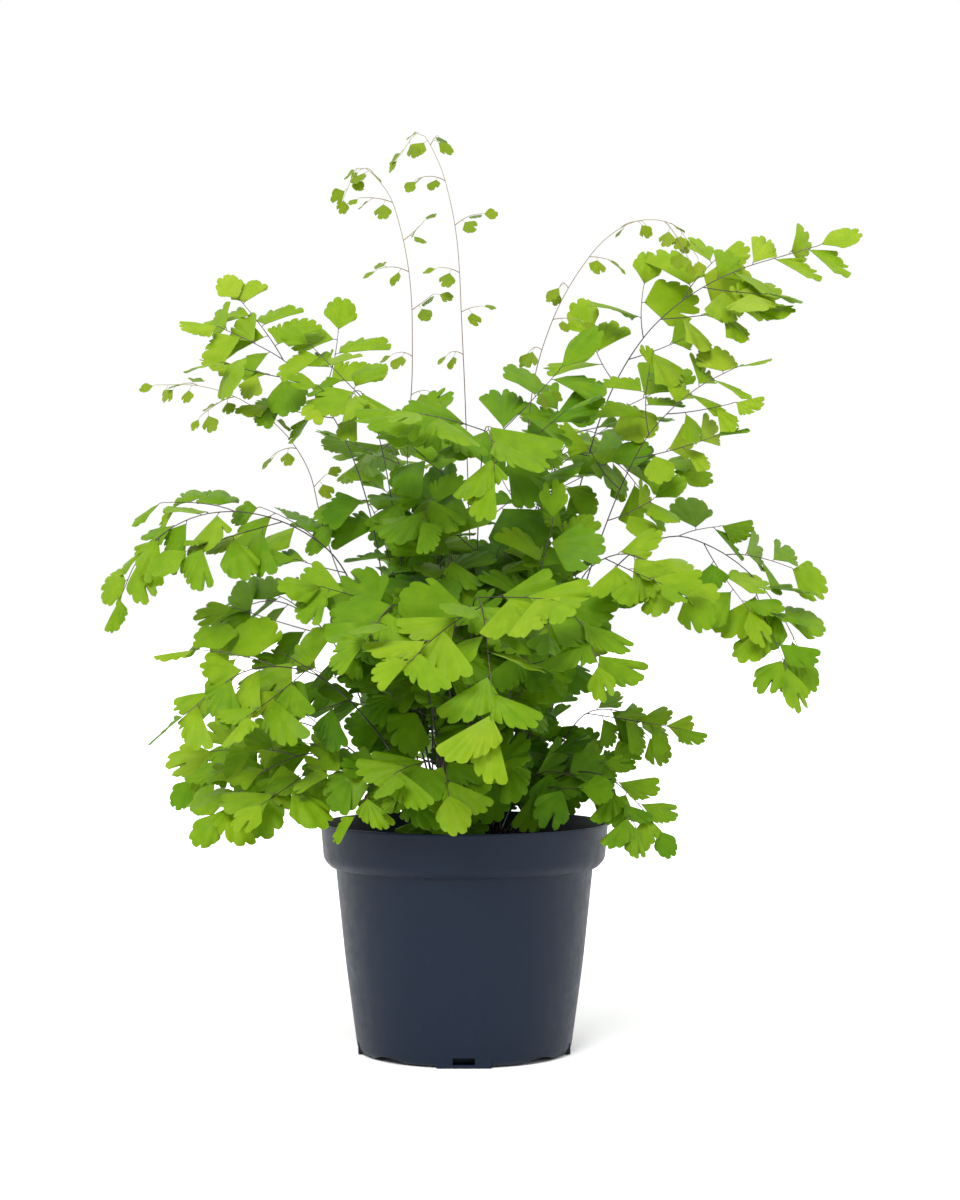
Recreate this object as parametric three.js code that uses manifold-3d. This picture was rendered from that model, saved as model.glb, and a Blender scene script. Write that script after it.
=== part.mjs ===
// A maidenhair fern in a plastic nursery pot, filled with potting mix.
// Millimetres, +Z up. The origin is the middle of the pot's underside, +X is its right and -Y its front.
// Each frond is two pieces: a wiry stem, and the spray of fan-shaped leaflets that it carries.

import * as THREE from 'three';
import { mergeVertices } from 'three/addons/utils/BufferGeometryUtils.js';
import Module from 'manifold-3d';

const wasm = await Module();
wasm.setup();

// ---------- driving dimensions ----------

const gap = 0.3; // left between pieces that rest on each other

// the pot: a 12 cm nursery pot with a deep collar
const rimRadius = 60;
const potHeight = 95.3;
const collarHeight = 13.5;
const collarTaper = 1.9;
const shoulderHeight = 4.8;
const neckRadius = 53.1;
const footRadius = 44.1;
const bodyBulge = 0.5;
const wall = 1.1;
const edgeRound = 0.7;
const footRound = 2.2;
const floorTop = 3;
const floorRecess = 1.5; // how far the underside lies above the surface, between the pads
const centrePadRadius = 14;
const footRingWidth = 6;
const potSides = 40;

// the drain slots and the shallow arches in the pot's foot, turn about
const drainPanelWidth = 22;
const drainPanelHeight = 4.3;
const drainPanelDepth = 0.5;
const drainSlotWidth = 9;
const drainSlotBottom = 1.2;
const drainSlotTop = 4.2;
const archWidth = 21;
const archRise = 1.4;
const drainCount = 4;

// the potting mix, and the rhizome that stands out of it
const soilTop = 86;
const soilSides = 36;
const crownRadius = 24;
const crownRise = 8;
const crownSides = 24;

// the fronds
const rodSides = 4;
const rodStep = 16; // between two rings of a stem or a rib
const rootClearance = 1.2; // from the rhizome to the middle of a stem's lower end
const leafThickness = 0.5;
const leafRise = 2.2; // from the middle of the stem to the middle of the rib above it
const leafClearance = 0.5; // kept by each leaflet to every other piece
const leafDroop = 0.25; // radians
const ribRadius = 0.5;
const fanSpread = 0.55; // radians from a leaflet's middle to its side
const fanSweep = 1.05; // radians from the stem's run to a leaflet's middle
const fanShoulder = 0.9; // a leaflet's length at its sides, as a share of its length in the middle
const faceTurn = 1; // radians that the sprays at the two sides turn their faces to the front

// Each kind of frond: its stem, the bare share of it below the leaflets, its leaflets and their colour.
const kinds = {
  young: { stemRadius: 0.5, bareShare: 0.6, leafLength: 8.5, leafPitch: 14, leaf: '#8b9d22' },
  high: { stemRadius: 0.6, bareShare: 0.52, leafLength: 19, leafPitch: 13, leaf: '#7d9a1f' },
  wide: { stemRadius: 0.65, bareShare: 0.42, leafLength: 22, leafPitch: 14, leaf: '#6f9512' },
  low: { stemRadius: 0.6, bareShare: 0.36, leafLength: 19, leafPitch: 13, leaf: '#4e7a1d' },
};

// Each frond's route: its root, as a place on the rhizome, then the points that its stem runs through.
const fronds = [
  { kind: 'young', route: [[-6, 3], [-14, 7, 165], [-24, 10, 235], [-22, 10, 290], [-24, 8, 330],
    [-34, 5, 362], [-46, 3, 370], [-50, 2, 358]] },
  { kind: 'young', route: [[0, 2], [3, 6, 160], [1, 8, 250], [-1, 7, 300], [-4, 5, 345],
    [-12, 3, 374], [-21, 2, 385], [-27, 1, 374]] },
  { kind: 'young', route: [[6, 3], [14, 7, 165], [25, 9, 245], [31, 8, 288], [46, 5, 323],
    [67, 2, 345], [86, 1, 346], [97, 0, 332]] },
  { kind: 'young', route: [[-11, 2], [-34, 3, 150], [-58, 4, 214], [-68, 4, 248], [-90, 3, 270],
    [-113, 2, 278], [-128, 1, 278]] },

  { kind: 'high', route: [[10, 6], [30, 14, 160], [50, 18, 240], [62, 17, 276], [80, 14, 304],
    [108, 10, 324], [149, 6, 337]] },
  { kind: 'high', route: [[12, -1], [40, -8, 165], [62, -12, 228], [76, -14, 256], [94, -14, 274],
    [112, -13, 284]] },
  { kind: 'high', route: [[-9, 8], [-28, 13, 160], [-42, 16, 232], [-56, 15, 266], [-76, 13, 289],
    [-103, 11, 303]] },
  { kind: 'high', route: [[-5, -4], [-20, -8, 165], [-32, -11, 240], [-37, -14, 262], [-42, -24, 273],
    [-46, -40, 270]] },
  { kind: 'high', route: [[1, -5], [4, -10, 165], [6, -18, 225], [8, -36, 254], [10, -58, 256],
    [12, -78, 240]] },
  { kind: 'high', route: [[7, -2], [18, -2, 170], [31, 0, 229], [45, 4, 249], [62, 9, 247],
    [75, 13, 234]] },
  { kind: 'high', route: [[-4, 12], [-14, 34, 165], [-24, 58, 232], [-36, 82, 258], [-50, 102, 250]] },
  { kind: 'high', route: [[8, 11], [20, 34, 165], [34, 56, 234], [52, 78, 264], [74, 96, 256]] },

  { kind: 'wide', route: [[-14, -1], [-34, -7, 150], [-52, -12, 204], [-80, -16, 222], [-108, -18, 223],
    [-131, -18, 209], [-141, -17, 190]] },
  { kind: 'wide', route: [[-16, 6], [-40, 12, 138], [-62, 16, 178], [-86, 20, 188], [-108, 22, 176]] },
  { kind: 'wide', route: [[-11, -8], [-34, -24, 132], [-60, -40, 158], [-86, -51, 160], [-110, -58, 143]] },
  { kind: 'wide', route: [[12, -7], [34, -24, 162], [52, -38, 202], [70, -46, 206], [87, -52, 191]] },
  { kind: 'wide', route: [[16, 4], [42, 8, 155], [64, 10, 202], [88, 12, 215], [112, 12, 206],
    [130, 11, 188], [142, 9, 165]] },
  { kind: 'wide', route: [[0, -13], [2, -34, 150], [4, -58, 187], [7, -80, 186], [10, -98, 164],
    [12, -106, 142]] },
  { kind: 'wide', route: [[-6, -11], [-14, -30, 148], [-21, -52, 180], [-28, -74, 186], [-36, -92, 174]] },
  { kind: 'wide', route: [[6, -11], [18, -28, 148], [32, -48, 182], [44, -66, 182], [52, -80, 164]] },
  { kind: 'wide', route: [[0, 16], [2, 40, 150], [3, 72, 196], [4, 100, 198], [4, 122, 180]] },

  { kind: 'low', route: [[-16, -7], [-38, -22, 116], [-60, -33, 126], [-82, -42, 118], [-96, -47, 104]] },
  { kind: 'low', route: [[-19, 2], [-44, 8, 122], [-72, 12, 137], [-97, 16, 130], [-115, 18, 113]] },
  { kind: 'low', route: [[17, -6], [34, -15, 112], [52, -23, 118], [66, -28, 110], [78, -31, 96]] },
  { kind: 'low', route: [[19, 0], [38, 4, 124], [54, 6, 142], [68, 8, 140], [77, 9, 131]] },
  { kind: 'low', route: [[-4, -18], [-7, -34, 114], [-8, -50, 124], [-7, -64, 122], [-6, -72, 113]] },
  { kind: 'low', route: [[-12, -15], [-22, -30, 112], [-31, -46, 118], [-38, -57, 112], [-42, -63, 104]] },
  { kind: 'low', route: [[-2, 20], [-4, 44, 118], [-6, 70, 130], [-8, 92, 124], [-9, 104, 110]] },
];

// ---------- solids ----------

/** The closed solid of a three.js geometry, ready to be cut, joined or compared. */
function solidOf(geometry) {
  const bare = geometry.clone();
  bare.deleteAttribute('normal');
  bare.deleteAttribute('uv');
  const welded = mergeVertices(bare);
  const corners = welded.index.array;
  const triangles = [];
  for (let i = 0; i < corners.length; i += 3) {
    const [a, b, c] = corners.slice(i, i + 3);
    if (a !== b && b !== c && c !== a) triangles.push(a, b, c);
  }
  return new wasm.Manifold(new wasm.Mesh({
    numProp: 3,
    vertProperties: new Float32Array(welded.attributes.position.array),
    triVerts: new Uint32Array(triangles),
  }));
}

/** The three.js geometry of a solid. */
function geometryOf(solid) {
  const mesh = solid.getMesh();
  const geometry = new THREE.BufferGeometry();
  geometry.setAttribute('position', new THREE.BufferAttribute(mesh.vertProperties, 3));
  geometry.setIndex(new THREE.BufferAttribute(mesh.triVerts, 1));
  geometry.computeVertexNormals();
  return geometry;
}

/** Whether two solids share any space. */
function meet(one, other) {
  const a = one.boundingBox();
  const b = other.boundingBox();
  const apart = [0, 1, 2].some((k) => a.min[k] > b.max[k] || b.min[k] > a.max[k]);
  return !apart && one.intersect(other).volume() > 0;
}

/** A profile of [radius, height] pairs turned about +Z. */
function turned(profile, sides) {
  const points = profile.map(([radius, height]) => new THREE.Vector2(radius, height));
  return new THREE.LatheGeometry(points, sides).rotateX(Math.PI / 2);
}

/** A named mesh with its own finish. */
function piece(name, geometry, color, roughness) {
  const mesh = new THREE.Mesh(geometry, new THREE.MeshStandardMaterial({ color, roughness, metalness: 0 }));
  mesh.name = name;
  return mesh;
}

// ---------- pot, soil and rhizome ----------

const collarFoot = potHeight - collarHeight;
const collarFootRadius = rimRadius - collarTaper;
const neckHeight = collarFoot - shoulderHeight;
const middleHeight = neckHeight / 2;
const middleRadius = (neckRadius + footRadius) / 2 + bodyBulge;

/** The pot without its drain slots and arches: the underside, the outside, the rim, and the inside. */
function potBlank() {
  return turned([
    [0, 0],
    [centrePadRadius, 0],
    [centrePadRadius + floorRecess, floorRecess],
    [footRadius - footRound - footRingWidth - floorRecess, floorRecess],
    [footRadius - footRound - footRingWidth, 0],
    [footRadius - footRound, 0],
    [footRadius - footRound * 0.3, footRound * 0.3],
    [footRadius, footRound],
    [middleRadius, middleHeight],
    [neckRadius, neckHeight],
    [collarFootRadius - edgeRound, collarFoot - edgeRound],
    [collarFootRadius, collarFoot + edgeRound],
    [rimRadius, potHeight - edgeRound],
    [rimRadius - edgeRound / 2, potHeight],
    [rimRadius - wall, potHeight],
    [collarFootRadius - wall, collarFoot + edgeRound],
    [neckRadius - wall, neckHeight],
    [middleRadius - wall, middleHeight],
    [footRadius - wall, floorTop + footRound],
    [footRadius - wall - footRound, floorTop],
    [0, floorTop],
  ], potSides);
}

/** A cutter that reaches through the pot's foot along +X, turned to its place about the pot's axis. */
function footCutter(geometry, turn) {
  return solidOf(geometry.rotateZ(turn));
}

/** The pot: its blank less the drain slots, the shallow panels round them, and the arches between. */
function potGeometry() {
  const reach = 2 * footRingWidth;
  const archRadius = (archWidth ** 2 / 4 + archRise ** 2) / (2 * archRise);
  let pot = solidOf(potBlank());
  for (let i = 0; i < drainCount; i += 1) {
    const turn = (i * 2 * Math.PI) / drainCount;
    const slot = new THREE.BoxGeometry(reach, drainSlotWidth, drainSlotTop - drainSlotBottom);
    slot.translate(footRadius, 0, (drainSlotTop + drainSlotBottom) / 2);
    const panel = new THREE.BoxGeometry(reach, drainPanelWidth, drainPanelHeight - drainSlotBottom);
    const panelX = footRadius - drainPanelDepth + reach / 2;
    panel.translate(panelX, 0, (drainPanelHeight + drainSlotBottom) / 2);
    const arch = new THREE.CylinderGeometry(archRadius, archRadius, 2 * reach, 2 * potSides);
    arch.rotateZ(Math.PI / 2).translate(footRadius, 0, archRise - archRadius);
    pot = pot.subtract(footCutter(slot, turn)).subtract(footCutter(panel, turn));
    pot = pot.subtract(footCutter(arch, turn + Math.PI / drainCount));
  }
  return geometryOf(pot);
}

/** The block of potting mix, clear of the pot all round. */
function soilGeometry() {
  const soilFoot = floorTop + gap;
  const inset = wall + 2 * gap;
  const wallSlope = (collarFootRadius - neckRadius) / (shoulderHeight + edgeRound);
  const shoulderTop = Math.min(soilTop, collarFoot + edgeRound);
  const shoulderRadius = neckRadius + (shoulderTop - neckHeight) * wallSlope;
  return turned([
    [0, soilFoot],
    [footRadius - footRound - inset, soilFoot],
    [footRadius - inset, soilFoot + footRound],
    [middleRadius - inset, middleHeight],
    [neckRadius - inset, neckHeight],
    [shoulderRadius - inset, shoulderTop],
    [shoulderRadius - inset, soilTop],
    [0, soilTop],
  ], soilSides);
}

/** The height of the rhizome's surface at a distance from its middle. */
function crownHeight(distance) {
  return soilTop + gap + crownRise * (1 - (distance / crownRadius) ** 2);
}

/** The low mound of the rhizome, resting on the potting mix. */
function crownGeometry() {
  const steps = 4;
  const profile = [[0, soilTop + gap]];
  for (let i = steps; i >= 0; i -= 1) {
    const distance = (crownRadius * i) / steps;
    profile.push([distance, crownHeight(distance)]);
  }
  return turned(profile, crownSides);
}

// ---------- fronds ----------

/** The line that a frond's stem follows, from the rhizome to the last leaflet. */
function stemCurve(route) {
  const points = route.map(([x, y, z]) => {
    const height = z ?? crownHeight(Math.hypot(x, y)) + rootClearance;
    return new THREE.Vector3(x, y, height);
  });
  return new THREE.CatmullRomCurve3(points);
}

/** A thin rod along a line. */
function rodGeometry(curve, radius) {
  const section = new THREE.CircleGeometry(radius, rodSides).attributes.position;
  const corners = [];
  for (let i = 1; i <= rodSides; i += 1) corners.push(new THREE.Vector2(section.getX(i), section.getY(i)));
  const steps = Math.ceil(curve.getLength() / rodStep);
  return new THREE.ExtrudeGeometry(new THREE.Shape(corners), {
    steps, bevelEnabled: false, extrudePath: curve,
  });
}

/** A point on the straight-edged rod that rodGeometry makes along a line, at a share of its length. */
function pointOnRod(curve, share) {
  const steps = Math.ceil(curve.getLength() / rodStep);
  const ring = Math.min(Math.floor(share * steps), steps - 1);
  return curve.getPointAt(ring / steps).lerp(curve.getPointAt((ring + 1) / steps), share * steps - ring);
}

/** A place just above a stem, with the stem's run there and the direction that the spray faces. */
function placeAbove(curve, along) {
  const share = Math.min(along / curve.getLength(), 1);
  const heading = curve.getPointAt(1).sub(curve.getPointAt(0)).setZ(0).normalize();
  const run = curve.getTangentAt(share);
  const side = new THREE.Vector3(-heading.y, heading.x, 0);
  side.addScaledVector(run, -side.dot(run)).normalize();
  const up = new THREE.Vector3().crossVectors(run, side);
  up.applyAxisAngle(run, faceTurn * heading.x);
  const point = curve.getPointAt(share).addScaledVector(up, leafRise);
  return { point, run, up };
}

/** The line of the rib that joins a spray's leaflets, just above the leafy end of the stem. */
function ribCurve(curve, start) {
  const reach = curve.getLength();
  const steps = Math.ceil((reach - start) / rodStep);
  const points = [];
  for (let i = 0; i <= steps; i += 1) {
    points.push(placeAbove(curve, start + ((reach - start) * i) / steps).point);
  }
  return new THREE.CatmullRomCurve3(points);
}

/**
 * A flat fan-shaped leaflet. It springs from the rib, sweeps forward on side 1 (left) or -1 (right), and
 * droops a little; side 0 is the leaflet that ends the spray.
 */
function leafletGeometry(place, side, length, thickness) {
  const corner = (turn, reach) => new THREE.Vector2(reach * Math.cos(turn), reach * Math.sin(turn));
  const sides = [-fanSpread, fanSpread].map((turn) => corner(turn, length * fanShoulder));
  const outline = [corner(0, 0), sides[0], corner(0, length), sides[1]];
  const geometry = new THREE.ExtrudeGeometry(new THREE.Shape(outline), {
    depth: thickness, bevelEnabled: false,
  });
  const outward = place.run.clone().applyAxisAngle(place.up, side * fanSweep);
  const across = new THREE.Vector3().crossVectors(place.up, outward);
  const droop = new THREE.Quaternion().setFromAxisAngle(across, leafDroop);
  outward.applyQuaternion(droop);
  const face = place.up.clone().applyQuaternion(droop);
  const stance = new THREE.Matrix4().makeBasis(outward, across, face).setPosition(place.point);
  return geometry.translate(0, 0, -thickness / 2).applyMatrix4(stance);
}

/** A spray: its rib, with leaflets turn about on both sides wherever they clear all other pieces. */
function sprayGeometry({ kind, curve, ribLine, rib }, others) {
  const { bareShare, leafLength, leafPitch } = kinds[kind];
  const reach = curve.getLength();
  const start = bareShare * reach;
  let spray = rib;
  let side = 0;
  for (let along = reach; along > start; along -= leafPitch) {
    const place = placeAbove(curve, along);
    place.point = pointOnRod(ribLine, (along - start) / (reach - start));
    const probe = solidOf(leafletGeometry(place, side, leafLength, leafThickness + 2 * leafClearance));
    if (!others.some((other) => meet(probe, other))) {
      spray = spray.add(solidOf(leafletGeometry(place, side, leafLength, leafThickness)));
    }
    side = side > 0 ? -1 : 1;
  }
  return geometryOf(spray);
}

// ---------- assembly ----------

const fern = new THREE.Group();
fern.add(piece('pot', potGeometry(), '#343b47', 0.45));
fern.add(piece('soil', soilGeometry(), '#14100d', 0.95));
fern.add(piece('crown', crownGeometry(), '#2b1d14', 0.9));

const counts = {};
for (const frond of fronds) {
  const { stemRadius, bareShare } = kinds[frond.kind];
  counts[frond.kind] = (counts[frond.kind] ?? 0) + 1;
  frond.name = `${frond.kind}_frond_${counts[frond.kind]}`;
  frond.curve = stemCurve(frond.route);
  frond.ribLine = ribCurve(frond.curve, bareShare * frond.curve.getLength());
  frond.rib = solidOf(rodGeometry(frond.ribLine, ribRadius));
  fern.add(piece(`${frond.name}_stem`, rodGeometry(frond.curve, stemRadius), '#241812', 0.35));
}

// the sprays come last, so that each leaflet keeps clear of the stems, the other ribs and earlier sprays
const placed = fern.children.map((mesh) => solidOf(mesh.geometry));
for (const frond of fronds) {
  const otherRibs = fronds.filter((other) => other !== frond).map((other) => other.rib);
  const spray = sprayGeometry(frond, [...placed, ...otherRibs]);
  placed.push(solidOf(spray));
  fern.add(piece(`${frond.name}_leaves`, spray, kinds[frond.kind].leaf, 0.5));
}

export default fern;
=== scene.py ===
"""A maidenhair fern in a plastic nursery pot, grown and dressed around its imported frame.

The frame gives where every stem runs. Each frond is grown along its stem: a wiry stalk that tapers to its
tip, side branches turn about, and fan-shaped leaflets on hair-thin stalks of their own. The pot, the potting
mix and the rhizome are built fresh inside the boxes of their frame nodes.
"""

import logging
import math
import random
from dataclasses import dataclass, field
from enum import Enum
from typing import Any, Iterable, Sequence

import bmesh
import bpy
import numpy as np
from mathutils import Matrix, Quaternion, Vector, noise
from mathutils.bvhtree import BVHTree


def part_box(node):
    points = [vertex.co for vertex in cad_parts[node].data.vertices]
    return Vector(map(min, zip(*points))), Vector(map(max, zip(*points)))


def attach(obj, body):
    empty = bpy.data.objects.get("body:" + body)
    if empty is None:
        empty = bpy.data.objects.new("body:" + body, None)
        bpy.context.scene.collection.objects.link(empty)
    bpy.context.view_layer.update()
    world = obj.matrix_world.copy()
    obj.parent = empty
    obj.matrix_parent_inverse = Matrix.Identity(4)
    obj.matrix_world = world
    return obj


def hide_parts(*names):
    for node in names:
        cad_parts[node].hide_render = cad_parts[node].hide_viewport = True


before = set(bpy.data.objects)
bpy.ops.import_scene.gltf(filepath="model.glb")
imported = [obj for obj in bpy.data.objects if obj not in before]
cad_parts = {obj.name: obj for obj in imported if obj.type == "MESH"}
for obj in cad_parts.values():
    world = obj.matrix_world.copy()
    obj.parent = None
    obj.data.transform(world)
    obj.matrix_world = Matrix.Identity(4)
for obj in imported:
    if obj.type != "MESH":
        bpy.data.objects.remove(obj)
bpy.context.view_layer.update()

LOG = logging.getLogger("fern")
MM = 0.001
BODY = "root"
UP = Vector((0, 0, 1))


# ---------- small helpers ----------


def linear(hex_colour: str) -> tuple[float, float, float, float]:
    """Turns an sRGB hex colour to linear light.

    Args:
        hex_colour: The colour, such as "#7d9a1f".

    Returns:
        Red, green, blue and alpha, from 0 to 1.
    """
    parts = [int(hex_colour[i : i + 2], 16) / 255 for i in (1, 3, 5)]
    red, green, blue = (c / 12.92 if c <= 0.04045 else ((c + 0.055) / 1.055) ** 2.4 for c in parts)
    return red, green, blue, 1.0


def add_node(
    tree: bpy.types.NodeTree,
    kind: str,
    settings: dict[str, Any] | None = None,
    values: dict[int | str, Any] | None = None,
    links: dict[int | str, bpy.types.NodeSocket] | None = None,
    stops: Sequence[tuple[float, str]] = (),
) -> bpy.types.Node:
    """Adds a node to a tree, with its settings and its links.

    Args:
        tree: The tree that gets the node.
        kind: The node's type name.
        settings: The node's own settings, by name.
        values: Constants for its inputs, by input name or number.
        links: Output sockets that feed its inputs, by input name or number.
        stops: Places from 0 to 1 on its colour ramp, if it has one, each with its sRGB colour.

    Returns:
        The new node.
    """
    node = tree.nodes.new(kind)
    for name, value in (settings or {}).items():
        setattr(node, name, value)
    for key, value in (values or {}).items():
        node.inputs[key].default_value = value
    for key, socket in (links or {}).items():
        tree.links.new(socket, node.inputs[key])
    for number, (place, colour) in enumerate(stops):
        elements = node.color_ramp.elements
        element = elements[number] if number < len(elements) else elements.new(place)
        element.position = place
        element.color = linear(colour)
    return node


def mesh_object(
    name: str, points: Iterable[Any], faces: Iterable[Any], edges: Iterable[Any] = ()
) -> bpy.types.Object:
    """Makes an object from points, edges and faces, and links it to the scene.

    Args:
        name: The object's name.
        points: The corners, in metres.
        faces: Corner numbers of each face.
        edges: Corner numbers of each loose edge.

    Returns:
        The new object.
    """
    mesh = bpy.data.meshes.new(name)
    mesh.from_pydata([tuple(p) for p in points], [tuple(e) for e in edges], [tuple(f) for f in faces])
    mesh.update()
    thing = bpy.data.objects.new(name, mesh)
    bpy.context.scene.collection.objects.link(thing)
    return thing


def object_from(work: bmesh.types.BMesh, name: str) -> bpy.types.Object:
    """Turns a bmesh into an object, and frees it.

    Args:
        work: The bmesh.
        name: The object's name.

    Returns:
        The object, linked to no collection.
    """
    mesh = bpy.data.meshes.new(name)
    work.to_mesh(mesh)
    work.free()
    return bpy.data.objects.new(name, mesh)


def settle(thing: bpy.types.Object) -> bpy.types.Object:
    """Turns an object's modifiers into plain mesh and removes them.

    Args:
        thing: The object, which keeps its name and place.

    Returns:
        The same object.
    """
    graph = bpy.context.evaluated_depsgraph_get()
    done = bpy.data.meshes.new_from_object(thing.evaluated_get(graph), depsgraph=graph)
    thing.modifiers.clear()
    thing.data = done
    return thing


def sharpen(mesh: bpy.types.Mesh, degrees: float) -> None:
    """Shades a mesh smooth, apart from edges that turn by more than an angle.

    Args:
        mesh: The mesh.
        degrees: The angle past which an edge is sharp.
    """
    work = bmesh.new()
    work.from_mesh(mesh)
    for face in work.faces:
        face.smooth = True
    for edge in work.edges:
        edge.smooth = len(edge.link_faces) == 2 and edge.calc_face_angle() < math.radians(degrees)
    work.to_mesh(mesh)
    work.free()


def ride(thing: bpy.types.Object, slot: str, *nodes: str) -> None:
    """Fixes a finished piece to the frame.

    Args:
        thing: The piece.
        slot: The record's material slot for its finish. It is not used.
        *nodes: The frame nodes that it stands for.
    """
    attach(thing, BODY)
    if nodes:
        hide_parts(*nodes)
    LOG.info("%s: %d faces", thing.name, len(thing.data.polygons))


def run_tree(
    thing: bpy.types.Object, tree: bpy.types.NodeTree, inputs: dict[str, Any]
) -> bpy.types.Object:
    """Runs a Geometry Nodes tree on an object and keeps the result as plain mesh.

    Args:
        thing: The object that the tree works on.
        tree: The tree.
        inputs: Values for the tree's named inputs.

    Returns:
        The same object.
    """
    modifier = thing.modifiers.new(tree.name, "NODES")
    modifier.node_group = tree
    sockets = {item.name: item.identifier for item in tree.interface.items_tree if item.in_out == "INPUT"}
    for name, value in inputs.items():
        modifier[sockets[name]] = value
    return settle(thing)


def new_tree(name: str, inputs: dict[str, str]) -> tuple[bpy.types.NodeTree, bpy.types.Node]:
    """Starts a Geometry Nodes tree with named inputs.

    Args:
        name: The tree's name.
        inputs: Socket type of each input, by name. The geometry comes first by itself.

    Returns:
        The tree and its input node.
    """
    tree = bpy.data.node_groups.new(name, "GeometryNodeTree")
    tree.interface.new_socket("Geometry", in_out="INPUT", socket_type="NodeSocketGeometry")
    for label, kind in inputs.items():
        tree.interface.new_socket(label, in_out="INPUT", socket_type=kind)
    tree.interface.new_socket("Geometry", in_out="OUTPUT", socket_type="NodeSocketGeometry")
    return tree, add_node(tree, "NodeGroupInput")


def end_tree(
    tree: bpy.types.NodeTree, geometry: bpy.types.NodeSocket, material: bpy.types.NodeSocket
) -> None:
    """Ends a tree: realises its instances, gives them their material and sends them out.

    Args:
        tree: The tree.
        geometry: The socket with the finished shapes.
        material: The socket with their material.
    """
    real = add_node(tree, "GeometryNodeRealizeInstances", links={"Geometry": geometry})
    dressed = add_node(
        tree,
        "GeometryNodeSetMaterial",
        links={"Geometry": real.outputs["Geometry"], "Material": material},
    )
    add_node(tree, "NodeGroupOutput", links={"Geometry": dressed.outputs["Geometry"]})


# ---------- finishes ----------


def start_material(name: str) -> tuple[bpy.types.Material, bpy.types.NodeTree]:
    """Makes an empty node material.

    Args:
        name: The material's name.

    Returns:
        The material and its tree.
    """
    material = bpy.data.materials.new(name)
    material.use_nodes = True
    material.node_tree.nodes.clear()
    return material, material.node_tree


@dataclass(frozen=True)
class LeafBlade:
    """Living leaf tissue: thin and soft, with a dull waxy shine, and light glowing through it."""

    name: str
    shades: tuple[tuple[float, str], ...]
    vein_bands: float = 4.6
    through: str = "#b4d236"

    def material(self) -> bpy.types.Material:
        """Builds the finish. Each leaflet's shade comes from its tone attribute, which holds painted light
        and shade by place as well as its own colour; its veins come from its UV map.

        Returns:
            The material.
        """
        material, tree = start_material(self.name)
        tone = add_node(tree, "ShaderNodeAttribute", {"attribute_name": "tone"}).outputs["Fac"]
        under = add_node(tree, "ShaderNodeAttribute", {"attribute_name": "under"}).outputs["Fac"]
        place = add_node(tree, "ShaderNodeTexCoord")
        # cloudy patches about 6 mm across
        cloud = add_node(
            tree,
            "ShaderNodeTexNoise",
            values={"Scale": 1 / (6 * MM), "Detail": 3.0},
            links={"Vector": place.outputs["Object"]},
        )
        cloud_shift = add_node(
            tree,
            "ShaderNodeMapRange",
            values={"From Min": 0.25, "From Max": 0.75, "To Min": -0.09, "To Max": 0.09},
            links={"Value": cloud.outputs["Fac"]},
        )
        # veins fan out from the stalk, a little over 1 mm apart at the rim
        veins = add_node(
            tree,
            "ShaderNodeTexWave",
            {"bands_direction": "X"},
            {"Scale": self.vein_bands, "Distortion": 1.2, "Detail": 1.0, "Detail Scale": 2.0},
            {"Vector": place.outputs["UV"]},
        )
        vein_shift = add_node(
            tree,
            "ShaderNodeMapRange",
            values={"To Min": -0.014, "To Max": 0.014},
            links={"Value": veins.outputs["Fac"]},
        )
        shifts = add_node(
            tree, "ShaderNodeMath", links={0: cloud_shift.outputs["Result"], 1: vein_shift.outputs["Result"]}
        )
        shade = add_node(tree, "ShaderNodeMath", links={0: tone, 1: shifts.outputs[0]})
        upper = add_node(tree, "ShaderNodeValToRGB", links={"Fac": shade.outputs[0]}, stops=self.shades)
        # the underside is paler and greyer
        colour = add_node(
            tree,
            "ShaderNodeMix",
            {"data_type": "RGBA"},
            {"Factor": 0.0, "B": linear("#86a562")},
            {"A": upper.outputs["Color"]},
        )
        pale = add_node(tree, "ShaderNodeMath", {"operation": "MULTIPLY"}, {1: 0.4}, {0: under})
        tree.links.new(pale.outputs[0], colour.inputs["Factor"])
        bump = add_node(
            tree,
            "ShaderNodeBump",
            values={"Strength": 0.2, "Distance": 0.1 * MM},
            links={"Height": veins.outputs["Fac"]},
        )
        gloss = add_node(
            tree,
            "ShaderNodeMapRange",
            values={"To Min": 0.4, "To Max": 0.58},
            links={"Value": cloud.outputs["Fac"]},
        )
        skin = add_node(
            tree,
            "ShaderNodeBsdfPrincipled",
            values={"IOR": 1.42, "Specular IOR Level": 0.18},
            links={
                "Base Color": colour.outputs["Result"],
                "Roughness": gloss.outputs["Result"],
                "Normal": bump.outputs["Normal"],
            },
        )
        # light that shines through is yellower than what the blade throws back
        warm = add_node(
            tree,
            "ShaderNodeMix",
            {"data_type": "RGBA"},
            {"Factor": 0.35, "B": linear(self.through)},
            {"A": colour.outputs["Result"]},
        )
        shine = add_node(tree, "ShaderNodeBsdfTranslucent", links={"Color": warm.outputs["Result"]})
        blade = add_node(
            tree, "ShaderNodeMixShader", values={0: 0.4}, links={1: skin.outputs[0], 2: shine.outputs[0]}
        )
        add_node(tree, "ShaderNodeOutputMaterial", links={"Surface": blade.outputs[0]})
        return material


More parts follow.
